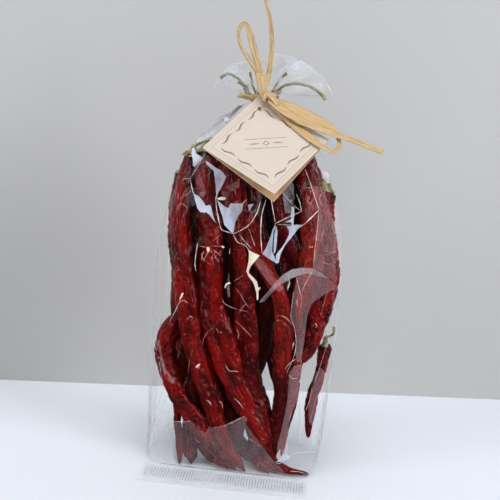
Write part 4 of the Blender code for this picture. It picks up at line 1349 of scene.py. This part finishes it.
def add_creases(name, lines, tree, finish):
    """Ridges along crease lines, thin at both ends and uneven between them."""
    drawn = []
    for spots, width, seed in lines:
        last = len(spots) - 1
        thick = []
        for j in range(last + 1):
            swell = math.sin(math.pi * min(max(j / last, 0.04), 0.96)) ** 0.6
            uneven = 1 + 0.45 * math.sin(0.83 * j + seed) * math.sin(0.31 * j + 2.7 * seed)
            thick.append(width / 2 * MM * (0.2 + 0.8 * swell) * uneven)
        drawn.append({"points": spots, "thick": thick, "seed": seed * 1.1, "tone_and_shade": 0.0})
    shape = {"Flatten": 0.0, "Dent": 0.0, "Wrinkle": 0.4, "Pucker": 0.2, "Ridges": 0.8, "Laps": 8.0}
    return grown(name, drawn, tree, finish, Segments=60, Sides=5, **shape)


def all_creases(skin_tree, tree):
    """The painted pink highlights, the bright creases and the faint ones, each kind as one piece."""
    # The creases' ridges are real; their whiteness is painted highlight.
    bright = film_glint("bright_crease", (1.0, 0.95, 0.92), 0.22, 0.95, 0.2)
    faint = film_glint("faint_crease", (0.90, 0.92, 0.95), 0.12, 0.55, 0.15)
    pink_glimmer = film_glint("pink_glimmer_crease", (0.95, 0.46, 0.44), 0.0, 0.62, 0.2, 330.0)
    return [
        add_creases("pink_glimmer_creases", pink_glimmer_lines(skin_tree), tree, pink_glimmer),
        add_creases("bright_creases", traced(skin_tree, BRIGHT_CREASES, 0), tree, bright),
        add_creases("faint_creases", faint_lines(skin_tree) + mouth_lines(), tree, faint),
    ]


def seal_flap():
    """The flap, tucked under the bag's front edge and wavy towards its own free edge."""
    front = BAG_PROFILE[0][3] * MM
    shape = bmesh.new()
    sides = []
    for over in (1, 0):
        rows = []
        for j in range(FLAP_ROWS + 1):
            y = -front + FLAP_TUCK - (FLAP_LENGTH + FLAP_TUCK) * j / FLAP_ROWS
            line = []
            for i in range(FLAP_COLUMNS + 1):
                x = FLAP_WIDTH * (i / FLAP_COLUMNS - 0.5)
                wave = FLAP_CURL * (1 + math.sin(0.31 * i + 0.9 * j)) * (j / FLAP_ROWS)
                line.append(shape.verts.new((x, y, over * (FLAP_THICKNESS * 0.5 + wave + 0.05 * MM))))
            rows.append(line)
        sides.append(rows)
    close_sheet(shape, sides)
    finish = film_glint("flap_film", (0.90, 0.93, 0.97), 0.10, 0.34, 0.12)
    return link("seal_flap", mesh_from("seal_flap", shape, smooth=False), finish)


def crimped_seal(tree):
    """The seal's fine ribs across the flap."""
    start = -BAG_PROFILE[0][3] * MM - CRIMP_FROM
    z = FLAP_THICKNESS + 0.15 * MM
    count = int(FLAP_WIDTH * CRIMP_SHARE / CRIMP_PITCH)
    thick = [CRIMP_THIN, CRIMP_THICK, CRIMP_THIN]
    ribs = []
    for k in range(count):
        x = (k - (count - 1) / 2) * CRIMP_PITCH
        points = [(x, start, z), (x, start - CRIMP_LENGTH / 2, z + 0.1 * MM), (x, start - CRIMP_LENGTH, z)]
        ribs.append({"points": points, "thick": thick, "seed": k * 0.7, "tone_and_shade": 0.0})
    finish = film_glint("crimp_film", (0.34, 0.36, 0.37), 0.08, 0.50, fineness=30.0)
    shape = {"Flatten": 0.0, "Dent": 0.0, "Wrinkle": 0.3, "Pucker": 0.1, "Ridges": 0.8, "Laps": 2.0}
    return grown("crimped_seal", ribs, tree, finish, Segments=6, Sides=6, **shape)


# Raffia, in mm. A point of a strip has its place and the strip's width. On the card its place is right, down
# and out from the card's top corner, and elsewhere it is right, back and up.
STRIP_POINTS, STRIP_STEPS, STRIP_THICKNESS, STRIP_CUP = 15, 9, 0.55, 0.55
WRAP_HEIGHTS, WRAP_RADIUS, WRAP_HALF_WIDTH, WRAP_HALF_THICKNESS = (202.9, 204.2, 205.1), 5.25, 0.95, 0.42
WRAP_STEPS, WRAP_POINTS = 48, 10
KNOT_AT, KNOT_DEEP, KNOT_LONG, KNOT_PITCH = (4.7, 4.4, 3.4), 2.31, 3.36, 1.5
KNOT_LEANS, KNOT_REACH, KNOT_STEPS, KNOT_WIDTH = (-0.5, 0.25, 0.95), 2.3, 8, 2.0
BOW_LOOP = (
    (3.6, 5.0, 3.4, 3.0),
    (7.7, 7.4, 3.0, 5.4),
    (13.5, 10.8, 2.5, 7.0),
    (19.8, 14.5, 2.1, 7.6),
    (26.0, 18.8, 1.9, 7.2),
    (31.1, 22.7, 1.8, 6.0),
    (34.7, 25.9, 1.8, 4.2),
    (36.6, 28.9, 1.6, 2.8),
    (36.9, 33.2, 1.4, 2.3),
    (36.6, 37.5, 1.3, 2.2),
    (34.9, 40.4, 1.2, 2.2),
    (32.0, 41.4, 1.2, 2.2),
    (29.3, 39.2, 1.2, 2.6),
    (26.3, 36.1, 1.1, 3.3),
    (23.2, 32.0, 1.0, 4.2),
    (19.6, 27.0, 1.0, 4.8),
    (15.7, 21.7, 1.1, 4.6),
    (11.7, 15.7, 1.5, 3.8),
    (7.9, 10.4, 2.4, 3.0),
    (4.7, 6.0, 3.2, 2.6),
)
TAIL = (
    (4.9, 7.3, 4.6, 3.0),
    (9.5, 13.1, 4.2, 3.8),
    (16.9, 19.4, 3.5, 4.4),
    (24.4, 24.7, 3.1, 4.2),
    (31.9, 29.5, 3.0, 3.9),
    (39.3, 34.2, 3.2, 3.6),
    (47.6, 39.4, 3.6, 3.5),
    (57.1, 45.7, 4.2, 3.4),
)
KNOT_STRAND = (
    (2.4, 1.6, 3.6, 2.2),
    (3.4, 2.4, 5.6, 2.6),
    (5.0, 4.6, 6.4, 2.8),
    (7.0, 8.0, 6.2, 2.6),
    (8.6, 11.0, 5.0, 2.2),
)
STUB = (
    (-3.6, -4.6, 203.4, 2.4), (-6.4, -5.8, 204.4, 2.6), (-9.4, -6.6, 204.9, 2.4),
    (-12.0, -7.0, 204.4, 1.8),
)
LINK = ((3.4, -4.2, 203.8, 3.0), (5.4, -7.8, 204.7, 3.2), (5.0, -12.6, 205.2, 3.0))
SHEATH = (
    (3.8, -13.2, 204.8, 3.4),
    (2.0, -12.0, 208.2, 4.8),
    (1.0, -10.9, 212.6, 6.6),
    (0.6, -9.8, 217.6, 8.2),
)
HANGING_LOOP = (
    (-1.4, -9.1, 214.2, 2.6),
    (-3.4, -8.6, 219.0, 2.4),
    (-8.4, -7.6, 225.0, 2.1),
    (-12.8, -7.0, 231.6, 1.9),
    (-14.0, -6.6, 237.4, 2.0),
    (-12.2, -6.4, 241.6, 2.3),
    (-9.2, -6.4, 240.0, 2.8),
    (-7.0, -7.0, 234.0, 3.4),
    (-4.6, -7.8, 227.4, 3.7),
    (-1.8, -8.6, 220.4, 3.5),
    (-0.4, -9.1, 214.6, 3.2),
)
HANGING_STRAND = (
    (3.0, -9.1, 213.6, 2.8),
    (3.8, -8.6, 219.4, 2.8),
    (3.9, -8.0, 227.0, 2.6),
    (3.5, -7.4, 236.0, 2.4),
    (1.6, -7.0, 245.0, 2.1),
    (-1.0, -6.6, 253.6, 1.9),
    (-3.4, -6.4, 262.0, 1.8),
)


def tag_turn():
    """How the card is turned."""
    return Euler((-TAG_LEAN, TAG_SPIN, TAG_TURN), "YXZ").to_matrix()


def on_card(right, down, out):
    """The place of a point on the card, from mm."""
    return TAG_TOP + tag_turn() @ Vector((right, -out, -down)) * MM


def in_world(x, y, z):
    """The place of a point, from mm."""
    return Vector((x, y, z)) * MM


def strip_section(width, travelled, seed):
    """A strip's section from edge to edge and back: (across, out) in mm, cupped, with fibre grooves."""
    section = []
    for face in (1, -1):
        for j in range(STRIP_POINTS):
            a = face * (2 * j / (STRIP_POINTS - 1) - 1)
            if abs(a) > 0.999 and face < 0:
                continue
            groove = 0.12 * math.sin(11.0 * a + seed * 2.0)
            groove += 0.10 * math.sin(23.0 * a + 1.3 * seed + 0.07 * travelled)
            cup = STRIP_CUP * a * a * math.sin(0.12 * travelled + seed)
            edge = math.sqrt(max(1 - a * a, 0.0)) ** 0.5
            section.append((a * width / 2, face * (STRIP_THICKNESS + groove) / 2 * edge + cup))
    return section


def mark(rows, lie, lays):
    """Writes where each vertex lies on its strip."""
    for row, lay in zip(rows, lays):
        for vertex, value in zip(row, lay):
            vertex[lie] = Vector(value)


def raffia_strip(shape, lie, route, facing, place, seed, gold):
    """Adds a flat strip along a route, uneven in width, golden by a share."""
    steps = (len(route) - 1) * STRIP_STEPS
    rows = [smooth_row(route, k / steps) for k in range(steps + 1)]
    points = [place(*row[:3]) for row in rows]
    travelled = 0.0
    rings, lays = [], []
    for k, (point, row) in enumerate(zip(points, rows)):
        ahead = (points[min(k + 1, steps)] - points[max(k - 1, 0)]).normalized()
        side = ahead.cross(facing).normalized()
        out = side.cross(ahead).normalized()
        if k:
            travelled += (point - points[k - 1]).length / MM
        width = row[3] * (1 + 0.05 * math.sin(0.9 * k + seed)) * (0.75 if k in (0, steps) else 1.0)
        section = strip_section(width, travelled, seed)
        rings.append([point + (side * across + out * up) * MM for across, up in section])
        lays.append([(across + seed * 9.0, travelled + seed * 31.0, gold) for across, _ in section])
    mark(loft(shape, rings, capped=True), lie, lays)


def knot_turns():
    """The knot's turns: short strips laid round a small ball, in the card's own frame."""
    turns = []
    for k, lean in enumerate(KNOT_LEANS):
        shift = (k - 1) * KNOT_PITCH
        route = []
        for j in range(KNOT_STEPS + 1):
            angle = KNOT_REACH * (2 * j / KNOT_STEPS - 1)
            run = KNOT_LONG * math.sin(angle)
            route.append((
                KNOT_AT[0] + run * math.sin(lean) + shift * math.cos(lean),
                KNOT_AT[1] + run * math.cos(lean) - shift * math.sin(lean),
                KNOT_AT[2] + KNOT_DEEP * math.cos(angle),
                KNOT_WIDTH,
            ))
        turns.append(route)
    return turns


def wrap_turns(shape, lie):
    """The turns round the neck, each a closed ring of strip."""
    for k, height in enumerate(WRAP_HEIGHTS):
        rings, lays = [], []
        for s in range(WRAP_STEPS):
            turn = 2 * math.pi * s / WRAP_STEPS
            radius = WRAP_RADIUS + 0.16 * k + 0.12 * math.sin(3 * turn + k)
            rise = height + 0.5 * math.sin(turn + 1.2 * k)
            ring, lay = [], []
            for j in range(WRAP_POINTS):
                a = 2 * math.pi * j / WRAP_POINTS
                reach = radius + WRAP_HALF_THICKNESS * math.cos(a) + 0.1 * math.sin(4 * a + 2 * turn)
                z = rise + WRAP_HALF_WIDTH * math.sin(a)
                ring.append(in_world(reach * math.cos(turn) + 0.2, reach * math.sin(turn), z))
                lay.append((math.sin(a) + k * 5, turn * 5.4 + k * 20, 0.3))
            rings.append(ring)
            lays.append(lay)
        mark(loft(shape, rings, round_again=True), lie, lays)


def add_raffia():
    """The turns round the neck and every strip, as one piece."""
    card_out = tag_turn() @ Vector((0, -1, 0))
    front = Vector((0, -1, 0.15)).normalized()
    shape = bmesh.new()
    lie = shape.verts.layers.float_vector.new("lie")
    wrap_turns(shape, lie)
    strips = (
        (BOW_LOOP, card_out, on_card, 0.8),
        (TAIL, card_out, on_card, 0.35),
        (KNOT_STRAND, card_out, on_card, 0.2),
        *((turn, card_out, on_card, 0.4) for turn in knot_turns()),
        (STUB, front, in_world, 0.3),
        (LINK, Vector((0.3, -0.2, 1)).normalized(), in_world, 0.3),
        (SHEATH, front, in_world, 0.0),
        (HANGING_LOOP, front, in_world, 0.1),
        (HANGING_STRAND, front, in_world, 0.1),
    )
    for seed, (route, facing, place, gold) in enumerate(strips):
        raffia_strip(shape, lie, route, facing, place, seed * 1.7 + 0.4, gold)
    bmesh.ops.recalc_face_normals(shape, faces=shape.faces)
    return link("raffia_tie", mesh_from("raffia_tie", shape), raffia_fibre())


def punch_hole(piece, turn):
    """Cuts the card's hole through a leaf."""
    shape = bmesh.new()
    sizes = {"segments": 32, "radius1": TAG_HOLE_RADIUS, "radius2": TAG_HOLE_RADIUS, "depth": 12 * MM}
    bmesh.ops.create_cone(shape, cap_ends=True, **sizes)
    punch = link("punch", mesh_from("punch", shape))
    place = Matrix.Translation(on_card(0.0, TAG_HOLE_DROP / MM, -0.3))
    punch.matrix_world = place @ (turn @ Euler((math.pi / 2, 0, 0)).to_matrix()).to_4x4()
    cut = piece.modifiers.new("hole", "BOOLEAN")
    cut.operation, cut.solver, cut.object = "DIFFERENCE", "EXACT", punch
    bpy.context.view_layer.update()
    applied(piece)
    bpy.data.objects.remove(punch, do_unlink=True)


def leaf(name, droop, finish, drop, printed_out):
    """One leaf of the card, bent back at its free corner, with its punched hole."""
    shape = bmesh.new()
    lay = shape.verts.layers.float_vector.new("lay")
    turn = tag_turn()
    sides = []
    for side in (0.5, -0.5):
        rows = []
        for j in range(TAG_CELLS + 1):
            line = []
            for i in range(TAG_CELLS + 1):
                a, b = i / TAG_CELLS, j / TAG_CELLS
                curl = TAG_BULGE * math.sin(math.pi * a) * math.sin(math.pi * b)
                out = side * TAG_THICKNESS - droop * a * b - drop + curl
                right, down = (b - a) * TAG_SIDE / math.sqrt(2), (a + b) * TAG_SIDE / math.sqrt(2)
                vertex = shape.verts.new(TAG_TOP + turn @ Vector((right, -out, -down)))
                vertex[lay] = Vector((a, b, 1.0 if (side > 0) == printed_out else 0.0))
                line.append(vertex)
            rows.append(line)
        sides.append(rows)
    close_sheet(shape, sides)
    piece = link(name, mesh_from(name, shape, smooth=False), finish)
    punch_hole(piece, turn)
    return piece


def add_card():
    """The card's two leaves."""
    finish = ruled_card()
    front = leaf("card_front", 0.0, finish, 0.0, True)
    return front, leaf("card_back", TAG_GAP, finish, 0.05 * MM, False)


# The room: half widths, heights and places in metres. A light has its place, size, power and colour.
FLOOR_HALF, FLOOR_DROP, WALL_HALF, WALL_HEIGHT = 2.0, 0.05 * MM, 1.5, 1.3
LIT_MIDDLE = (0, 0, 0.11)
LIGHTS = {
    "window": ((1.7, -0.8, 0.75), (0.8, 1.1), 26.0, (0.97, 0.98, 1.0)),
    "fill": ((-1.7, -1.05, 0.7), (0.7, 0.9), 19.0, (0.99, 0.99, 1.0)),
    "lamp": ((-0.25, -1.6, 0.6), (0.12, 0.12), 1.6, (1.0, 0.88, 0.72)),
    "overhead": ((0.0, -0.7, 2.2), (1.5, 1.5), 33.0, (1.0, 1.0, 1.0)),
}
DIM_LIGHT, DIM_STRENGTH = (0.50, 0.50, 0.51, 1), 0.16
PALE_VIEW, PALE_STRENGTH = (0.60, 0.61, 0.63, 1), 1.0


def plain_finish(name, colour, roughness):
    """A plain, faintly cloudy finish."""
    material, sheet, shader = new_material(name)
    cloud = sheet.noise(sheet.place(), 3.0, 3.0)
    feed(sheet, shader, "Base Color", sheet.mix(cloud, tuple(c * 0.98 for c in colour), colour))
    feed(sheet, shader, "Roughness", roughness)
    return material, sheet, shader


def add_room():
    """The table's top, and a wall that is clear from behind."""
    floor_finish, _, _ = plain_finish("pale_table", (0.72, 0.76, 0.83), 0.5)
    shape = bmesh.new()
    bmesh.ops.create_grid(shape, x_segments=1, y_segments=1, size=FLOOR_HALF)
    floor = link("floor", mesh_from("floor", shape), floor_finish)
    floor.data.transform(Matrix.Translation((0, 0, -FLOOR_DROP)))
    floor.visible_glossy = False
    wall_finish, sheet, shader = plain_finish("grey_wall", (0.475, 0.475, 0.475), 0.8)
    see_through(sheet, shader, 1 - sheet.add("ShaderNodeNewGeometry", None, None, "Backfacing"))
    shape = bmesh.new()
    corners = ((-WALL_HALF, 0), (WALL_HALF, 0), (WALL_HALF, WALL_HEIGHT), (-WALL_HALF, WALL_HEIGHT))
    shape.faces.new([shape.verts.new((x, 0, z)) for x, z in corners])
    wall = link("wall", mesh_from("wall", shape), wall_finish)
    wall.data.transform(Matrix.Translation((0, WALL_BEHIND, 0)) @ Matrix.Rotation(WALL_TURN, 4, "Z"))


def add_light(name, place, size, power, colour):
    """A light panel that faces the bag's middle."""
    data = bpy.data.lights.new(name, "AREA")
    data.shape, data.size, data.size_y = "RECTANGLE", size[0], size[1]
    data.energy, data.color = power, colour
    lamp = bpy.data.objects.new(name, data)
    lamp.location = place
    lamp.rotation_euler = (Vector(LIT_MIDDLE) - Vector(place)).to_track_quat("-Z", "Y").to_euler()
    bpy.context.scene.collection.objects.link(lamp)


def add_lights():
    """The lights, and surroundings that look pale but light and mirror dimly."""
    for name, light in LIGHTS.items():
        add_light(name, *light)
    world = bpy.data.worlds.new("studio")
    world.use_nodes = True
    sheet = Sheet(world.node_tree)
    dim = sheet.add("ShaderNodeBackground", None, {"Color": DIM_LIGHT, "Strength": DIM_STRENGTH})
    pale = sheet.add("ShaderNodeBackground", None, {"Color": PALE_VIEW, "Strength": PALE_STRENGTH})
    seen = sheet.add("ShaderNodeLightPath", None, None, "Is Camera Ray")
    mixed = sheet.add("ShaderNodeMixShader", None, {0: seen, 1: dim, 2: pale})
    sheet.put(world.node_tree.nodes["World Output"].inputs["Surface"], mixed)
    bpy.context.scene.world = world
    bpy.context.scene.view_settings.view_transform = "Standard"


def main():
    add_camera()
    add_room()
    add_lights()
    tree = growing_tree()
    film = film_skin()
    skin_tree = BVHTree.FromObject(film, bpy.context.evaluated_depsgraph_get())
    inside = add_chillies(tree)
    painted_light = add_painted_light(skin_tree)
    creases = all_creases(skin_tree, tree)
    flap, crimp = seal_flap(), crimped_seal(tree)
    raffia = add_raffia()
    card_front, card_back = add_card()
    for piece, slot in inside:
        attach(piece, BODY)
        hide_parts("bag")
    for piece in (film, *painted_light, *creases, flap, crimp):
        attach(piece, BODY)
        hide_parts("bag")
    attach(raffia, BODY)
    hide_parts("raffia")
    for piece in (card_front, card_back):
        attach(piece, BODY)
        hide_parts("tag")


main()
